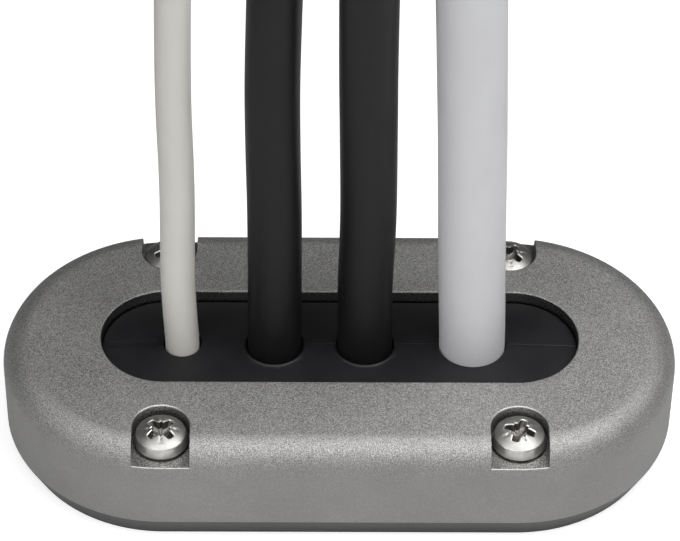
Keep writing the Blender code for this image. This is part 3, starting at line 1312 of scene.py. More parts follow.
    def finish_at(self, place: Vector, normal: Vector) -> Surface:
        """Choose the finish of a face.

        Args:
            place: middle of the face.
            normal: its normal.

        Returns:
            The surface it belongs to.
        """
        corner = Vector((abs(place.x), abs(place.y), place.z))
        out = self.out_of(corner)
        near, clear = 0.05 * MM, 0.1 * MM
        facing_up, upright, leaning_in = normal.z > 0.99, abs(normal.z) < 0.05, normal.z < -0.25
        rounded = 0.30 < normal.z < 0.95
        if abs(out) < 0.02 * MM and place.z > self.plate_under:
            return Surface.NECK
        # the tapered foot takes the finish with painted shade
        if out > self.foot_out - self.edge_round and leaning_in and place.z > clear:
            return Surface.FOOT
        aside = math.hypot(corner.x - self.stadium.arc_centre_x, min(corner.y - self.screw_y, 0.0))
        level = place.z < self.pocket_floor + near and facing_up
        # pocket floors and walls take the finish with painted shade
        if out > 0.0 and place.z > self.plate_under + clear and aside < self.pocket_radius + near:
            if level or (upright and corner.y < self.screw_y + self.pocket_radius):
                return Surface.POCKET
        front = aside < self.pocket_radius and abs(place.z - self.pocket_floor) < self.pocket_edge[1]
        back = corner.y < self.screw_y and aside < self.pocket_radius + self.pocket_edge[1]
        # rolled pocket edges take the lighter finish: edge wear and painted highlight
        if rounded and out > 0.0 and place.z > self.plate_under and (front or back):
            return Surface.WORN
        return Surface.SKIN

    def build(self, finishes: Sequence[Material]) -> Piece:
        """Build and dress the cover.

        Args:
            finishes: one material for each surface, in the order of their numbers.

        Returns:
            The finished piece.
        """
        cover = self.blank(finishes)
        cut(cover, self.cavity())
        for x in (-1, 1):
            for y in (-1, 1):
                place = (x * self.stadium.arc_centre_x, y * self.screw_y)
                cut(cover, self.groove(*place))
                cut(cover, self.post(self.screw_hole_radius, *place, -self.cut_margin,
                                     self.pocket_floor + self.cut_margin))
        for face in cover.data.polygons:
            face.material_index = self.finish_at(face.center, face.normal).value
        shade(cover, Shade.ROUNDED)
        dress(cover, Slot.COVER, "cover")
        return cover


@dataclass(frozen=True)
class Channel:
    """Round channel for one cable in the insert, with a raised lip in front of the cable."""

    x: float
    y: float
    radius: float
    lip: float = 0.0


@dataclass(frozen=True)
class RimPoint:
    """Point of an insert half's outline with the rounding and the lip of its top edge."""

    place: Vector
    edge_round: float
    lip: float = 0.0


@dataclass
class Insert:
    """Rubber insert in two halves that close round the cables."""

    stadium: Stadium
    cover_height: float
    channels: Sequence[Channel]
    neck_gap: float = 0.22 * MM
    split_gap: float = 0.04 * MM
    drop: float = 2.5 * MM
    crown: float = 0.5 * MM
    body_out: float = 3.2 * MM
    shoulder: float = 18.04 * MM
    flange_out: float = 6.2 * MM
    flange_height: float = 3.0 * MM
    edge_round: float = 0.3 * MM
    joint_round: Point2 = (0.012 * MM, 0.13 * MM)
    seam_margin: float = 0.1 * MM
    lip_shape: float = 0.3
    lip_steps: Sequence[Point2] = ((0.12, 0.6), (0.22, 1.0), (0.34, 0.85), (0.48, 0.35), (0.62, 0.0))
    round_steps: int = 4
    end_segments: int = 40
    channel_segments: int = 36

    def outline(self, side: int, out: float) -> list[RimPoint]:
        """Outline of one half at a distance outwards, seen from above.

        Args:
            side: -1 for the front half and 1 for the rear half.
            out: distance outwards from the opening's edge.

        Returns:
            Its points: along the joint from left to right, then back round the outside.
        """
        joint = side * self.split_gap / 2
        radius = self.stadium.half_width + out
        end_x = self.stadium.arc_centre_x + math.sqrt(radius ** 2 - joint ** 2)
        left_round, right_round = self.joint_round
        points = [RimPoint(Vector((-end_x, joint)), left_round)]
        for channel in sorted(self.channels, key=lambda item: item.x):
            offset = side * (joint - channel.y)
            first = math.acos(max(-1.0, min(1.0, offset / channel.radius)))
            share = (channel.x + end_x) / (2 * end_x)
            seam_round = left_round + (right_round - left_round) * share ** 2
            reach = channel.radius * math.sin(first) + self.edge_round + self.seam_margin
            points.append(RimPoint(Vector((channel.x - reach, joint)), seam_round))
            for i in range(self.channel_segments + 1):
                angle = first - 2 * first * i / self.channel_segments
                place = Vector((channel.x - channel.radius * math.sin(angle),
                                channel.y + side * channel.radius * math.cos(angle)))
                rise = math.sin(math.pi * i / self.channel_segments) ** self.lip_shape
                points.append(RimPoint(place, self.edge_round, channel.lip * rise if side < 0 else 0.0))
            points.append(RimPoint(Vector((channel.x + reach, joint)), seam_round))
        points.append(RimPoint(Vector((end_x, joint)), right_round))
        skip = math.asin(abs(joint) / radius)
        for end in (1, -1):
            start = skip if end > 0 else math.pi / 2
            stop = math.pi / 2 if end > 0 else math.pi - skip
            for i in range(self.end_segments + 1):
                angle = start + (stop - start) * i / self.end_segments
                points.append(RimPoint(Vector((end * self.stadium.arc_centre_x + radius * math.cos(angle),
                                               side * radius * math.sin(angle))), self.edge_round))
        return points[:-1]

    def top_at(self, point: Vector) -> float:
        """Height of the crowned top at a place.

        Args:
            point: place seen from above.

        Returns:
            The height above the deck.
        """
        x = max(abs(point.x) - self.stadium.arc_centre_x, 0.0)
        inwards = self.stadium.half_width - self.neck_gap - math.hypot(x, point.y)
        share = min(max(inwards / self.stadium.half_width, 0.0), 1.0)
        return self.cover_height - self.drop + self.crown * (1 - (1 - share) ** 2)

    def rim_rings(self, side: int) -> list[list[Point3]]:
        """Rings of the top edge: its rounding, then the lip that stands round the cables.

        Args:
            side: -1 for the front half and 1 for the rear half.

        Returns:
            Rings from the wall inwards.
        """
        rim = self.outline(side, -self.neck_gap)
        neck = [item.place for item in rim]
        rings = []
        for i in range(self.round_steps + 1):
            angle = math.pi / 2 * i / self.round_steps
            line = drawn_in(neck, [item.edge_round * (1 - math.cos(angle)) for item in rim], side)
            rings.append([(p.x, p.y, self.top_at(p) - item.edge_round * (1 - math.sin(angle)))
                          for p, item in zip(line, rim)])
        for step, share in self.lip_steps:
            line = drawn_in(neck, [item.edge_round + step * MM for item in rim], side)
            rings.append([(p.x, p.y, self.top_at(p) + item.lip * share) for p, item in zip(line, rim)])
        return rings

    def half(self, name: str, side: int, finish: Material) -> Piece:
        """Build one half.

        Args:
            name: name of the piece.
            side: -1 for the front half and 1 for the rear half.
            finish: its material.

        Returns:
            The piece, before it is dressed.
        """
        builder = MeshBuilder()
        small = 0.25 * MM
        levels = [(0.0, self.flange_out), (self.flange_height - small, self.flange_out),
                  (self.flange_height, self.flange_out - small), (self.flange_height, self.body_out),
                  (self.shoulder - small, self.body_out), (self.shoulder, self.body_out - small),
                  (self.shoulder, -self.neck_gap)]
        rings = [[(item.place.x, item.place.y, z) for item in self.outline(side, out)] for z, out in levels]
        rings += self.rim_rings(side)
        builder.tube(rings)
        builder.face(rings[0])
        self.fill_top(builder, rings[-1])
        piece = builder.finish(name, [finish])
        shade(piece, Shade.ROUNDED)
        return piece

    def fill_top(self, builder: MeshBuilder, ring: Sequence[Point3], gap: float = 1.6 * MM) -> None:
        """Close the top with triangles that follow its crown.

        Args:
            builder: mesh under construction.
            ring: last ring of the rounded edge.
            gap: spacing of the points inside.
        """
        outline = [Vector((x, y)) for x, y, _ in ring]
        reach = self.stadium.arc_centre_x + self.stadium.half_width
        columns = range(-int(reach / gap), int(reach / gap) + 1)
        last_row = int(self.stadium.half_width / gap)
        rows = range(-last_row, last_row + 1)
        inner = [Vector((i * gap, (j + 0.5 * (i % 2)) * gap)) for i in columns for j in rows]
        kept = [p for p in inner if min((p - q).length for q in outline) > 0.6 * gap]
        edges = [(i, (i + 1) % len(outline)) for i in range(len(outline))]
        whole = [list(range(len(outline)))]
        verts, _, faces, *_ = geometry.delaunay_2d_cdt(outline + kept, edges, whole, 1, 1e-7)
        places = []
        for vert in verts:
            nearest = min(range(len(outline)), key=lambda k: (outline[k] - vert).length_squared)
            if (outline[nearest] - vert).length < 1e-6:
                places.append(ring[nearest])
            else:
                places.append((vert.x, vert.y, self.top_at(vert)))
        for face in faces:
            builder.face([places[i] for i in face])

    def build(self, finish: Material) -> None:
        """Build and dress both halves.

        Args:
            finish: material of the rubber.
        """
        for name, side, node in (("rubber_front", -1, "seal_front"), ("rubber_rear", 1, "seal_rear")):
            dress(self.half(name, side, finish), Slot.INSERT, node)


@dataclass
class PanScrew:
    """Pan head screw with a cross recess, four marks between its wings and a coarse thread.

    Each step of recess_steps goes further down the recess: its scale near the middle, its scale at
    the wing tips, and its depth in millimetres.
    """

    head_radius: float = 4.98 * MM
    head_taper: float = 0.34 * MM
    skirt_height: float = 2.15 * MM
    skirt_round: float = 0.10 * MM
    dome_radius: float = 8.3 * MM
    shank_radius: float = 2.5 * MM
    core_radius: float = 1.85 * MM
    pitch: float = 1.6 * MM
    tip_length: float = 2.2 * MM
    tip_radius: float = 0.6 * MM
    wing_reach: float = 2.85 * MM
    wing_half: float = 0.60 * MM
    wing_root: float = 0.72 * MM
    square_half: float = 1.30 * MM
    recess_edge: float = 0.28 * MM
    mark_start: float = 2.15 * MM
    mark_end: float = 3.55 * MM
    mark_depth: float = 0.18 * MM
    mark_angle: float = math.radians(3.0)
    widest_step: float = math.radians(3.2)
    edge_steps: int = 4
    dome_steps: int = 18
    skirt_first: int = 2
    skirt_last: int = 9
    wing_tip_from: float = 0.6
    recess_steps: Sequence[Point3] = (
        (0.99, 0.95, 0.9), (0.97, 0.86, 1.5), (0.94, 0.75, 2.0), (0.60, 0.48, 2.3), (0.15, 0.12, 2.45))
    tip_gap: float = 1.0 * MM
    pitch_steps: int = 8
    thread_width: float = 0.3
    thread_fade: float = 1.5

    def dome_height(self, radius: float) -> float:
        """Height of the dome above the head's underside.

        Args:
            radius: distance from the screw's axis.

        Returns:
            The height.
        """
        rim = self.head_radius - self.head_taper
        centre = self.skirt_height - math.sqrt(self.dome_radius ** 2 - rim ** 2)
        return centre + math.sqrt(self.dome_radius ** 2 - radius ** 2)

    def recess_outline(self) -> list[Vector]:
        """Outline of the recess: four wings on a small square, anticlockwise from one wing's middle.

        Returns:
            Its points, whose angles rise steadily and never by much.
        """
        reach, half, root, square = self.wing_reach, self.wing_half, self.wing_root, self.square_half
        foot = square + 0.1 * MM
        # One eighth of the outline: the wing's tip, its foot on the square, and the square's side.
        tip = ((reach, 0.0), (reach - 0.01 * MM, half * 0.45), (reach - 0.06 * MM, half * 0.8),
               (reach - 0.18 * MM, half))
        base = ((foot, root), (square, root + 0.08 * MM))
        slopes = [math.tan(math.pi / 4 - turns * self.mark_angle) for turns in (2.2, 1.0)]
        beside_mark = [(square, square * slope) for slope in slopes]
        eighth = [Vector(p) for p in (*tip, *base, *beside_mark)]
        full = eighth + [Vector((square, square))] + [Vector((p.y, p.x)) for p in reversed(eighth[1:])]
        points = []
        for quarter in range(4):
            turn = Matrix.Rotation(quarter * math.pi / 2, 2)
            points += [turn @ p for p in full]
        spaced = []
        for start, end in zip(points, points[1:] + points[:1]):
            count = max(1, math.ceil(start.angle(end) / self.widest_step))
            spaced += [start.lerp(end, i / count) for i in range(count)]
        return spaced

    def head_rings(self) -> list[list[Point3]]:
        """Rings of the head's outside, from its underside into the recess.

        Returns:
            Underside, skirt, dome and recess edge, all with as many points.
        """
        outline = self.recess_outline()
        edges = []
        for i in range(self.edge_steps + 1):
            angle = math.pi / 2 * i / self.edge_steps
            grown = drawn_in(outline, [-self.recess_edge * (1 - math.sin(angle))] * len(outline))
            edges.append([(p.x, p.y, self.dome_height(p.length) - self.recess_edge * (1 - math.cos(angle)))
                          for p in grown])
        start = edges[0]
        angles = [math.atan2(y, x) for x, y, _ in start]
        rim = self.head_radius - self.head_taper
        wide, high = self.head_radius, self.skirt_height
        # Radius and height, from the underside up the skirt to the dome's rim.
        profile = [(self.shank_radius, 0.0), (wide - 0.25 * MM, 0.0), (wide - 0.08 * MM, 0.06 * MM),
                   (wide, 0.25 * MM), (wide - 0.03 * MM, 0.30 * high), (wide - 0.10 * MM, 0.52 * high),
                   (wide - 0.20 * MM, 0.75 * high), (rim + 0.02 * MM, high - self.skirt_round * 1.4),
                   (rim - 0.01 * MM, high - self.skirt_round * 0.5)]
        profile.append((rim - self.skirt_round, self.dome_height(rim - self.skirt_round)))
        rings = [[(radius * math.cos(a), radius * math.sin(a), z) for a in angles] for radius, z in profile]
        outer = profile[-1][0]
        for i in range(1, self.dome_steps):
            ring = []
            for (x, y, _), angle in zip(start, angles):
                radius = outer + (math.hypot(x, y) - outer) * i / self.dome_steps
                ring.append((radius * math.cos(angle), radius * math.sin(angle),
                             self.dome_height(radius) - self.mark_at(angle, radius)))
            rings.append(ring)
        return rings + edges

    def mark_at(self, angle: float, radius: float) -> float:
        """Depth of the straight marks between the wings at a place.

        Args:
            angle: angle round the screw's axis.
            radius: distance from it.

        Returns:
            The depth, which fades at the ends.
        """
        off = (angle - math.pi / 4) % (math.pi / 2)
        off = min(off, math.pi / 2 - off)
        along = min(1.0, max(0.0, min(radius - self.mark_start, self.mark_end - radius) / (0.2 * MM)))
        return self.mark_depth * along * max(0.0, 1 - off / self.mark_angle)

    def build_mesh(self, name: str, finishes: Sequence[Material], seat: float) -> Piece:
        """Build one screw about its own axis, with its seat at height zero.

        Args:
            name: name of the object.
            finishes: one material for each part of the screw, in the order of their numbers.
            seat: height of the seat above the deck, which the shank passes.

        Returns:
            The screw.
        """
        builder = MeshBuilder()
        head = self.head_rings()
        angles = [math.atan2(y, x) for x, y, _ in head[0]]
        top = self.dome_height(0.0)
        recess = [head[-1]]
        for middle, tip, depth in self.recess_steps:
            ring = []
            for x, y, z in head[-1]:
                share = (math.hypot(x, y) / self.wing_reach - self.wing_tip_from) / (1.0 - self.wing_tip_from)
                share = min(max(share, 0.0), 1.0)
                scale = middle + (tip - middle) * share
                ring.append((x * scale, y * scale, min(top - depth * MM, z - 0.04 * MM * depth)))
            recess.append(ring)
        edge_start = len(head) - self.edge_steps - 1
        builder.tube(head[:self.skirt_first + 1])
        # the skirt, and below it the recess rim, take the lighter steel of the painted highlight
        builder.tube(head[self.skirt_first:self.skirt_last + 1], material=ScrewPart.EDGE.value)
        builder.tube(head[self.skirt_last:edge_start + 1])
        builder.tube(head[edge_start:], material=ScrewPart.EDGE.value)
        builder.tube(recess, material=ScrewPart.RECESS.value)
        builder.face(recess[-1], ScrewPart.RECESS.value)
        self.add_shank(builder, angles, head[0], seat)
        piece = builder.finish(name, finishes)
        return shade(piece, Shade.ROUNDED)

    def add_shank(self, builder: MeshBuilder, angles: Sequence[float], neck: Sequence[Point3],
                  seat: float) -> None:
        """Add the threaded shank and its blunt tip.

        Args:
            builder: mesh under construction.
            angles: angles of the columns.
            neck: ring where the shank meets the head.
            seat: length of the shank down to the deck.
        """
        end = self.tip_gap - seat
        count = int(-end / (self.pitch / self.pitch_steps))
        rings = [list(neck)]
        for i in range(1, count + 1):
            z = end * i / count
            ring = []
            for angle in angles:
                turn = (z / self.pitch + angle / math.tau) % 1.0
                ridge = max(0.0, 1 - abs(turn - 0.5) / self.thread_width)
                taper = min(1.0, max(0.0, (z - end) / self.tip_length))
                plain = 1 - min(1.0, -z / (self.thread_fade * self.pitch))
                crest = self.core_radius + (self.shank_radius - self.core_radius) * max(ridge, plain)
                radius = self.tip_radius + (crest - self.tip_radius) * taper
                ring.append((radius * math.cos(angle), radius * math.sin(angle), z))
            rings.append(ring)
        builder.tube(rings)
        builder.face(rings[-1])


@dataclass
class ScrewSet:
    """The four screws, placed by a Geometry Nodes tree on a two by two grid.

    The turns are in degrees, in the order of the grid's points. The names in finish_inputs follow
    the numbers of ScrewPart.
    """

    spacing_x: float
    spacing_y: float
    seat: float
    turns: dict[str, float]
    screw: PanScrew
    finish_inputs: tuple[str, ...] = ("Finish", "Recess Finish", "Edge Finish")

    def tree(self) -> bpy.types.NodeTree:
        """Make the tree that puts a turned copy of the screw on each point.

        Returns:
            The tree, with named inputs.
        """
        tree = bpy.data.node_groups.new("screw_pattern", "GeometryNodeTree")
        face = tree.interface
        face.new_socket("Geometry", in_out="INPUT", socket_type="NodeSocketGeometry")
        for name in ("Spacing X", "Spacing Y", "Seat Height", *self.turns):
            face.new_socket(name, in_out="INPUT", socket_type="NodeSocketFloat")
        face.new_socket("Screw", in_out="INPUT", socket_type="NodeSocketObject")
        for name in self.finish_inputs:
            face.new_socket(name, in_out="INPUT", socket_type="NodeSocketMaterial")
        face.new_socket("Geometry", in_out="OUTPUT", socket_type="NodeSocketGeometry")
        new, link = tree.nodes.new, tree.links.new
        source, sink = new("NodeGroupInput"), new("NodeGroupOutput")
        grid = new("GeometryNodeMeshGrid")
        grid.inputs["Vertices X"].default_value = 2
        grid.inputs["Vertices Y"].default_value = 2
        link(source.outputs["Spacing X"], grid.inputs["Size X"])
        link(source.outputs["Spacing Y"], grid.inputs["Size Y"])
        lift, raised = new("ShaderNodeCombineXYZ"), new("GeometryNodeSetPosition")
        link(source.outputs["Seat Height"], lift.inputs["Z"])
        link(grid.outputs["Mesh"], raised.inputs["Geometry"])
        link(lift.outputs["Vector"], raised.inputs["Offset"])
        pick, index = new("GeometryNodeIndexSwitch"), new("GeometryNodeInputIndex")
        pick.data_type = "FLOAT"
        while len(pick.index_switch_items) < len(self.turns):
            pick.index_switch_items.new()
        link(index.outputs["Index"], pick.inputs["Index"])
        for number, name in enumerate(self.turns):
            link(source.outputs[name], pick.inputs[number + 1])
        turn, rotation = new("ShaderNodeCombineXYZ"), new("FunctionNodeEulerToRotation")
        link(pick.outputs["Output"], turn.inputs["Z"])
        link(turn.outputs["Vector"], rotation.inputs["Euler"])
        info, copies = new("GeometryNodeObjectInfo"), new("GeometryNodeInstanceOnPoints")
        link(source.outputs["Screw"], info.inputs["Object"])
        link(raised.outputs["Geometry"], copies.inputs["Points"])
        link(info.outputs["Geometry"], copies.inputs["Instance"])
        link(rotation.outputs["Rotation"], copies.inputs["Rotation"])
        real, number = new("GeometryNodeRealizeInstances"), new("GeometryNodeInputMaterialIndex")
        link(copies.outputs["Instances"], real.inputs["Geometry"])
        last = real.outputs["Geometry"]
        for slot, name in enumerate(self.finish_inputs):
            same, painted = new("FunctionNodeCompare"), new("GeometryNodeSetMaterial")
            same.data_type, same.operation = "INT", "EQUAL"
            link(number.outputs["Material Index"], same.inputs[2])
            same.inputs[3].default_value = slot
            link(same.outputs["Result"], painted.inputs["Selection"])
            link(last, painted.inputs["Geometry"])
            link(source.outputs[name], painted.inputs["Material"])
            last = painted.outputs["Geometry"]
        link(last, sink.inputs["Geometry"])
        return tree

    def build(self, finishes: Sequence[Material]) -> Piece:
        """Build and dress the screws.

        Args:
            finishes: one material for each part of a screw, in the order of their numbers.

        Returns:
            The finished piece.
        """
        template = self.screw.build_mesh("screw_template", finishes, self.seat)
        tree = self.tree()
        piece = bpy.data.objects.new("pan_screws", bpy.data.meshes.new("pan_screws"))
        bpy.context.scene.collection.objects.link(piece)
        pattern = piece.modifiers.new("pattern", "NODES")
        pattern.node_group = tree
        values = {"Spacing X": self.spacing_x, "Spacing Y": self.spacing_y, "Seat Height": self.seat,
                  "Screw": template, **dict(zip(self.finish_inputs, finishes))}
        values.update({name: math.radians(turn) for name, turn in self.turns.items()})
        for item in tree.interface.items_tree:
            if item.in_out == "INPUT" and item.name in values:
                pattern[item.identifier] = values[item.name]
        make_plain(piece)
        bpy.data.objects.remove(template, do_unlink=True)
        dress(piece, Slot.SCREWS, *(f"screw_{name}" for name in self.turns))
        return piece


@dataclass(frozen=True)
class Wire:
    """One wire in a cut cable: place in the cable, radius and the bare core's radius."""

    x: float
    y: float
    radius: float
    core: float


@dataclass
class Cable:
    """One cable held in the insert: a stiff offcut with both ends cut square."""

    name: str
    node: str
    slot: Slot
    diameter: float
    channel: Point2
    route: Sequence[Point3]
    swell: Point2
    wires: Sequence[Wire]
    clearance: float = 0.10 * MM
    lip: float = 0.0
    insert_top: float = 21.84 * MM
    start: float = 0.5 * MM
    jacket_wall: float = 1.0 * MM
    segments: int = 56
    ring_gap: float = 1.6 * MM
    curve_steps: int = 20
    filler_drop: float = 0.25 * MM
    wire_sink: float = 0.3 * MM
    wire_height: float = 0.22 * MM
    core_height: float = 0.28 * MM
    wire_segments: int = 24

    def points(self) -> list[Vector]:
        """Points of the route, from the lower cut end to the upper one.

        Returns:
            The points.
        """
        x, y = self.channel
        points = [Vector((x, y, z)) for z in (self.start, self.insert_top / 2, self.insert_top)]
        return points + [Vector((x + dx, y + dy, self.insert_top + dz)) for dx, dy, dz in self.route]

    def centreline(self) -> list[Vector]:
        """Smooth line through the route's points, with an even spacing.

        Returns:
            Its points, both ends included.
        """
        points = self.points()
        padded = [points[0], *points, points[-1]]
        fine = []
        for p0, p1, p2, p3 in zip(padded, padded[1:], padded[2:], padded[3:]):
            for step in range(self.curve_steps):
                t = step / self.curve_steps
                fine.append(0.5 * (2 * p1 + (p2 - p0) * t + (2 * p0 - 5 * p1 + 4 * p2 - p3) * t ** 2
                                   + (3 * p1 - p0 - 3 * p2 + p3) * t ** 3))
        fine.append(points[-1])
        length = sum((b - a).length for a, b in zip(fine, fine[1:]))
        return resample(fine, round(length / self.ring_gap))

    def radius_at(self, share: float) -> float:
        """Radius at a share of the length; a real jacket is never quite even."""
        return self.diameter / 2 * (self.swell[0] + (self.swell[1] - self.swell[0]) * share)

    def build(self, finishes: Sequence[Material]) -> Piece:
        """Build and dress the cable.

        Args:
            finishes: one material for each part of a cut cable, in the order of their numbers.

        Returns:
            The finished piece.
        """
        line = self.centreline()
        builder = MeshBuilder()
        rings = []
        travelled = 0.0
        marks = []
        for i, point in enumerate(line):
            ahead = line[min(i + 1, len(line) - 1)] - line[max(i - 1, 0)]
            turn = Vector((0.0, 0.0, 1.0)).rotation_difference(ahead)
            travelled += (point - line[i - 1]).length if i else 0.0
            radius = self.radius_at(i / (len(line) - 1))
            level = circle(0.0, 0.0, radius, 0.0, self.segments)
            rings.append([tuple(point + turn @ Vector(p)) for p in level])
            marks.append(travelled)
        builder.tube(rings)
        self.add_cut(builder, rings[0], line[0], (line[0] - line[1]).normalized())
        self.add_cut(builder, rings[-1], line[-1], (line[-1] - line[-2]).normalized())
        piece = builder.finish(self.name, finishes)
        self.add_coordinates(piece, line, marks)
        shade(piece, Shade.ROUNDED)
        dress(piece, self.slot, self.node)
        return piece

    def add_cut(self, builder: MeshBuilder, ring: Sequence[Point3], centre: Vector, ahead: Vector) -> None:
        """Close one end: jacket wall, filler a little lower and the wires.

        Args:
            builder: mesh under construction.
            ring: last ring of the jacket.
            centre: middle of the cut.
            ahead: direction out of the end.
        """
        radius = (Vector(ring[0]) - centre).length
        inner = 1 - self.jacket_wall / radius
        face_ring = [tuple(centre + (Vector(p) - centre) * inner) for p in ring]
        sunk = [tuple(Vector(p) - ahead * self.filler_drop) for p in face_ring]
        builder.strip(ring, face_ring, closed=True)
        builder.strip(face_ring, sunk, closed=True)
        builder.face(sunk, CutPart.FILLER.value)
        turn = ahead.to_track_quat("Z", "Y")
        for wire in self.wires:
            base = centre + turn @ Vector((wire.x, wire.y, 0.0)) - ahead * self.wire_sink
            profile = ((wire.radius, 0.0), (wire.radius, self.wire_height), (wire.core, self.wire_height),
                       (wire.core, self.core_height))
            loops = []
            for radius, lift in profile:
                level = circle(0.0, 0.0, radius, lift, self.wire_segments)
                loops.append([tuple(base + turn @ Vector(p)) for p in level])
            builder.tube(loops[:3], material=CutPart.INSULATION.value)
            builder.tube(loops[2:], material=CutPart.CORE.value)
            builder.face(loops[3], CutPart.CORE.value)
            builder.face(loops[0], CutPart.INSULATION.value)

    def add_coordinates(self, piece: Piece, line: Sequence[Vector], marks: Sequence[float]) -> None:
        """Store coordinates that follow the jacket: place across the cable and length along it.

        Args:
            piece: the cable.
            line: centreline.
            marks: length along the centreline at each of its points.
        """
        attribute = piece.data.attributes.new("jacket", "FLOAT_VECTOR", "POINT")
        for vertex, value in zip(piece.data.vertices, attribute.data):
            height = vertex.co.z
            index = min(range(len(line)), key=lambda k: abs(line[k].z - height))
            across = vertex.co - line[index]
            value.vector = (across.x, across.y, marks[index])


def cable_set() -> list[Cable]:
    """List the four cables; each route repeats the steps of its solid, in millimetres.

    Returns:
        The cables, from left to right.
    """
    def scaled(*steps: Point3) -> list[Point3]:
        """Turn millimetres into metres."""
        return [(x * MM, y * MM, z * MM) for x, y, z in steps]

    def ring(count: int, offset: float, radius: float, core: float) -> list[Wire]:
        """Lay wires round the middle."""
        return [Wire(x, y, radius * MM, core * MM) for x, y, _ in circle(0.0, 0.0, offset * MM, 0.0, count)]

    coaxial = [Wire(0.0, 0.0, 3.2 * MM, 1.1 * MM)]
    return [
        Cable("thin_white_cable", "cable_thin_white", Slot.JACKET_WARM_WHITE, 6.4 * MM,
              (-29.7 * MM, 0.2 * MM),
              scaled((-0.25, 0, 8), (-0.43, 0, 16), (-0.3, 0, 25), (-0.1, 0, 35), (-0.08, 0, 45),
                     (-0.2, 0, 56), (-0.14, 0, 66), (0.1, 0, 77), (0.5, 0, 91.2)),
              (1.0, 1.0), ring(2, 1.1, 0.95, 0.5), 0.42 * MM),
        Cable("left_black_cable", "cable_black_left", Slot.JACKET_BLACK, 10.1 * MM, (-12.3 * MM, 0.0),
              scaled((0.05, 0, 8), (0.12, 0.1, 20), (0.1, 0.4, 34), (-0.1, 0.9, 48), (-0.14, 1.4, 62),
                     (0.2, 2.2, 77), (0.65, 3.0, 91.2)),
              (1.01, 0.965), coaxial, 0.26 * MM, 0.24 * MM),
        Cable("right_black_cable", "cable_black_right", Slot.JACKET_BLACK, 10.1 * MM, (4.75 * MM, 0.0),
              scaled((-0.1, 0, 8), (-0.18, -0.1, 16), (0.08, -0.3, 28), (0.1, -0.7, 38), (-0.16, -1.4, 55),
                     (-0.4, -2.1, 70), (-0.55, -3.0, 91.2)),
              (1.01, 1.03), coaxial, 0.26 * MM, 0.24 * MM),
        Cable("thick_white_cable", "cable_thick_white", Slot.JACKET_COOL_WHITE, 12.45 * MM,
              (24.95 * MM, 0.6 * MM),
              scaled((-0.25, 0, 8), (-0.6, 0, 16), (-1.05, 0, 29), (-1.4, 0, 40), (-1.8, 0, 52),
                     (-2.3, 0, 64), (-2.85, 0, 77), (-3.5, 0, 91.2)),
              (1.0, 1.0), ring(3, 2.6, 2.0, 1.2), 0.24 * MM),
    ]


@dataclass(frozen=True)
class Lamp:
    """Soft rectangular lamp: name, middle, size and brightness; it faces down or the object."""

    name: str
    place: Point3
    size: Point2
    brightness: float
    aimed: bool = False

    def power(self) -> float:
        """Watts that give the brightness at this size."""
        return self.brightness * math.pi * self.size[0] * self.size[1]


@dataclass(frozen=True)
class LampBank:
    """Square lamps side by side at one height, with their brightness in rows from the front."""

    name: str
    height: float
    pitch: float
    front: float
    rows: Sequence[Sequence[float]]

    def lamps(self) -> list[Lamp]:
        """List the lamps that are lit.

        Returns:
            The lamps, row by row.
        """
        lit = []
        for i, row in enumerate(self.rows):
            for j, brightness in enumerate(row):
                place = ((j - (len(row) - 1) / 2) * self.pitch, self.front + i * self.pitch, self.height)
                if brightness:
                    lit.append(Lamp(f"{self.name}_{i}_{j}", place, (self.pitch, self.pitch), brightness))
        return lit


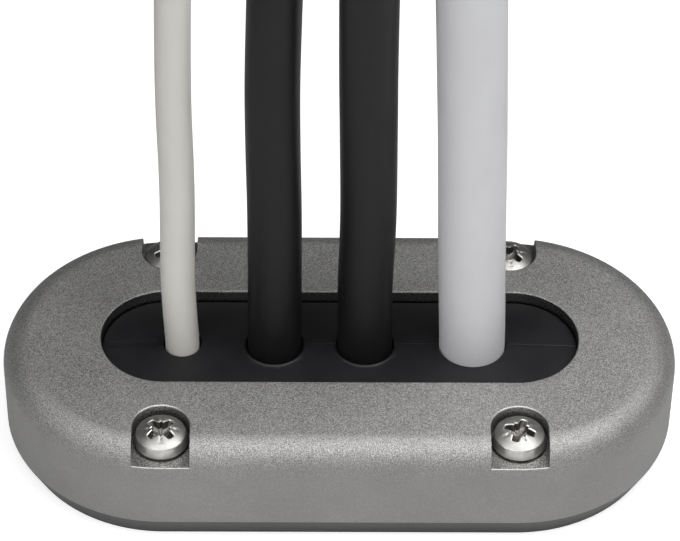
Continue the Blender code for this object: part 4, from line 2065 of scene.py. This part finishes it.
@dataclass
class Studio:
    """Pale floor, soft lamp overhead, white backdrop and the camera of the photograph."""

    camera_place: Point3 = (-0.00616, -0.43486, 0.44659)
    camera_right: Point3 = (0.99994, -0.00465, 0.00986)
    camera_up: Point3 = (-0.00404, 0.68235, 0.73101)
    camera_back: Point3 = (-0.01013, -0.73101, 0.68229)
    lens: float = 170.5
    floor_tone: float = 0.6
    floor_glow: float = 0.66
    floor_size: float = 6.0
    surround: float = 0.01
    target: Point3 = (0.0, 0.0, 0.04)
    banks: Sequence[LampBank] = (
        LampBank("near_bank", 0.26, 0.12, -0.24, (
            (0.74, 1.78, 0.41, 0.33, 0.29), (0.75, 3.04, 0.0, 1.79, 2.64), (0.0, 0.0, 1.44, 3.37, 1.39))),
        LampBank("far_bank", 0.45, 0.22, -0.44, (
            (0.0, 1.05, 0.38, 0.18, 0.0), (0.0, 2.63, 2.02, 3.43, 1.60), (0.0, 0.0, 1.26, 2.91, 0.0))),
    )
    panels: Sequence[Lamp] = (
        Lamp("high_front_panel", (-0.5, -0.9, 0.70), (0.45, 0.45), 0.44, True),
        Lamp("front_panel", (0.0, -0.9, 0.25), (0.45, 0.45), 0.60, True),
        Lamp("low_left_panel", (-0.3, -0.55, 0.12), (0.3, 0.2), 0.55, True),
        Lamp("low_front_panel", (0.0, -0.55, 0.12), (0.3, 0.2), 0.88, True),
        Lamp("side_panel", (-0.9, -0.5, 0.35), (0.5, 0.5), 0.95, True),
    )

    def build_camera(self) -> None:
        """Place the camera as in the photograph."""
        data = bpy.data.cameras.new("camera")
        data.sensor_width = 36.0
        data.lens = self.lens
        data.clip_start, data.clip_end = 0.01, 100.0
        camera = bpy.data.objects.new("camera", data)
        axes = Matrix((self.camera_right, self.camera_up, self.camera_back)).transposed().to_4x4()
        camera.matrix_world = Matrix.Translation(self.camera_place) @ axes
        bpy.context.scene.collection.objects.link(camera)
        bpy.context.scene.camera = camera

    def build_floor(self) -> None:
        """Lay a pale floor that shows white and keeps the object's shadow."""
        half = self.floor_size / 2
        mesh = bpy.data.meshes.new("floor")
        mesh.from_pydata([(-half, -half, 0.0), (half, -half, 0.0), (half, half, 0.0), (-half, half, 0.0)],
                         [], [(0, 1, 2, 3)])
        floor = bpy.data.objects.new("floor", mesh)
        bpy.context.scene.collection.objects.link(floor)
        material = bpy.data.materials.new("pale_floor")
        material.use_nodes = True
        tree = material.node_tree
        tree.nodes.clear()
        new, link = tree.nodes.new, tree.links.new
        diffuse, glow, total, output = (new("ShaderNodeBsdfDiffuse"), new("ShaderNodeEmission"),
                                        new("ShaderNodeAddShader"), new("ShaderNodeOutputMaterial"))
        diffuse.inputs["Color"].default_value = (*(self.floor_tone,) * 3, 1.0)
        path, strength = new("ShaderNodeLightPath"), new("ShaderNodeMath")
        strength.operation = "MULTIPLY"
        link(path.outputs["Is Camera Ray"], strength.inputs[0])
        strength.inputs[1].default_value = self.floor_glow
        link(strength.outputs["Value"], glow.inputs["Strength"])
        link(diffuse.outputs["BSDF"], total.inputs[0])
        link(glow.outputs["Emission"], total.inputs[1])
        link(total.outputs["Shader"], output.inputs["Surface"])
        mesh.materials.append(material)

    def build_world(self) -> None:
        """Make the surround: white to the camera and nearly dark to everything else."""
        world = bpy.data.worlds.new("studio")
        bpy.context.scene.world = world
        world.use_nodes = True
        tree = world.node_tree
        tree.nodes.clear()
        new, link = tree.nodes.new, tree.links.new
        output, back = new("ShaderNodeOutputWorld"), new("ShaderNodeBackground")
        path, level = new("ShaderNodeLightPath"), new("ShaderNodeMapRange")
        link(path.outputs["Is Camera Ray"], level.inputs["Value"])
        level.inputs["To Min"].default_value = self.surround
        level.inputs["To Max"].default_value = 1.0
        link(level.outputs["Result"], back.inputs["Strength"])
        link(back.outputs["Background"], output.inputs["Surface"])

    def hang(self, lamp: Lamp) -> None:
        """Hang one soft rectangular lamp, which the camera doesn't see.

        Args:
            lamp: its place, size and brightness.
        """
        data = bpy.data.lights.new(lamp.name, "AREA")
        data.shape = "RECTANGLE"
        data.size, data.size_y = lamp.size
        data.energy = lamp.power()
        body = bpy.data.objects.new(lamp.name, data)
        body.location = lamp.place
        body.visible_camera = False
        if lamp.aimed:
            ahead = Vector(self.target) - Vector(lamp.place)
            body.rotation_euler = ahead.to_track_quat("-Z", "Y").to_euler()
        bpy.context.scene.collection.objects.link(body)

    def build(self) -> None:
        """Build the studio."""
        self.build_camera()
        self.build_floor()
        self.build_world()
        for bank in self.banks:
            for lamp in bank.lamps():
                self.hang(lamp)
        for lamp in self.panels:
            self.hang(lamp)
        settings = bpy.context.scene.view_settings
        settings.view_transform = "Standard"


def corners(bounds: tuple[Vector, Vector]) -> list[list[float]]:
    """Turn a box into plain lists of numbers."""
    return [[float(value) for value in corner] for corner in bounds]


def main() -> None:
    """Build every piece of the deck seal and the studio."""
    logging.basicConfig(level=logging.INFO, format="%(message)s")
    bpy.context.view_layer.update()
    Studio().build()
    filler = CableCore("cable_filler", (0.55, 0.54, 0.50), 0.6).build()
    insulation = CableCore("wire_insulation", (0.70, 0.69, 0.66), 0.45).build()
    copper = CableCore("bare_copper", (0.80, 0.42, 0.28), 0.3, metallic=1.0).build()
    # the white jackets are painted darker towards their upper ends, as shade
    jackets = {
        Slot.JACKET_BLACK: ExtrudedJacket("black_jacket", (0.0060, 0.0060, 0.0068), (0.0085, 0.0085, 0.0095),
                                          (0.40, 0.50), 0.3).build(),
        Slot.JACKET_WARM_WHITE: ExtrudedJacket("warm_white_jacket", (0.72, 0.70, 0.66), (0.68, 0.66, 0.62),
                                               (0.40, 0.50), painted_shade_tone=(1.0, 0.78)).build(),
        Slot.JACKET_COOL_WHITE: ExtrudedJacket("cool_white_jacket", (0.68, 0.68, 0.70), (0.65, 0.65, 0.665),
                                               (0.40, 0.50), painted_shade_tone=(1.0, 0.82)).build(),
    }
    cables = cable_set()
    for cable in cables:
        cable.build([jackets[cable.slot], filler, insulation, copper])
    cover = Cover.from_frame()
    metals = {
        Surface.SKIN: BlastedAluminium(),
        Surface.NECK: BlastedAluminium(
            "trimmed_neck", dark=(0.275, 0.271, 0.265), light=(0.455, 0.451, 0.441),
            roughness=(0.24, 0.32), grain_depth=0.02 * MM, pit_depth=0.01 * MM),
        # the foot's taper is painted much darker than the skin: painted shade for the floor's contact shadow
        # that it reflects
        Surface.FOOT: BlastedAluminium(
            "cast_foot", dark=(0.125, 0.123, 0.121), light=(0.165, 0.163, 0.161),
            roughness=(0.36, 0.44), grain_depth=0.03 * MM, pit_depth=0.02 * MM),
        # the pockets' floors and walls are painted darker than the skin: painted shade in the recesses
        Surface.POCKET: BlastedAluminium(
            "pocket_metal", dark=(0.130, 0.128, 0.124), light=(0.420, 0.414, 0.402),
            roughness=(0.40, 0.50), fading=(-1.0 * MM, 0.0), grain=0.24 * MM, grain_depth=0.06 * MM),
        # the pockets' rolled edges are painted lighter than the skin: edge wear and painted highlight
        Surface.WORN: BlastedAluminium(
            "worn_edge", dark=(0.36, 0.355, 0.345), light=(0.64, 0.635, 0.62),
            roughness=(0.45, 0.55), grain_depth=0.05 * MM),
    }
    cover.build([metals[surface].build() for surface in Surface])
    channels = [Channel(*cable.channel, cable.diameter / 2 * cable.swell[0] + cable.clearance, cable.lip)
                for cable in cables]
    Insert(cover.stadium, cover.height, channels).build(MouldedRubber().build())
    turns = {"front_left": 45.0, "rear_left": 18.0, "front_right": -20.0, "rear_right": -38.0}
    # the skirts and recess rims take a much lighter steel: painted highlight
    painted_highlight_steel = StainlessSteel("upset_edge_steel", dark=(0.60, 0.59, 0.57), light=(0.76, 0.755, 0.74),
                                roughness=(0.34, 0.46))
    # the recesses take a brownish finish painted darker than the steel, as shade
    ScrewSet(2 * cover.stadium.arc_centre_x, 2 * cover.screw_y, cover.pocket_floor + SEAT_GAP, turns,
             PanScrew()).build([StainlessSteel().build(), RecessPaintedShade().build(), painted_highlight_steel.build()])


if __name__ == "__main__":
    main()
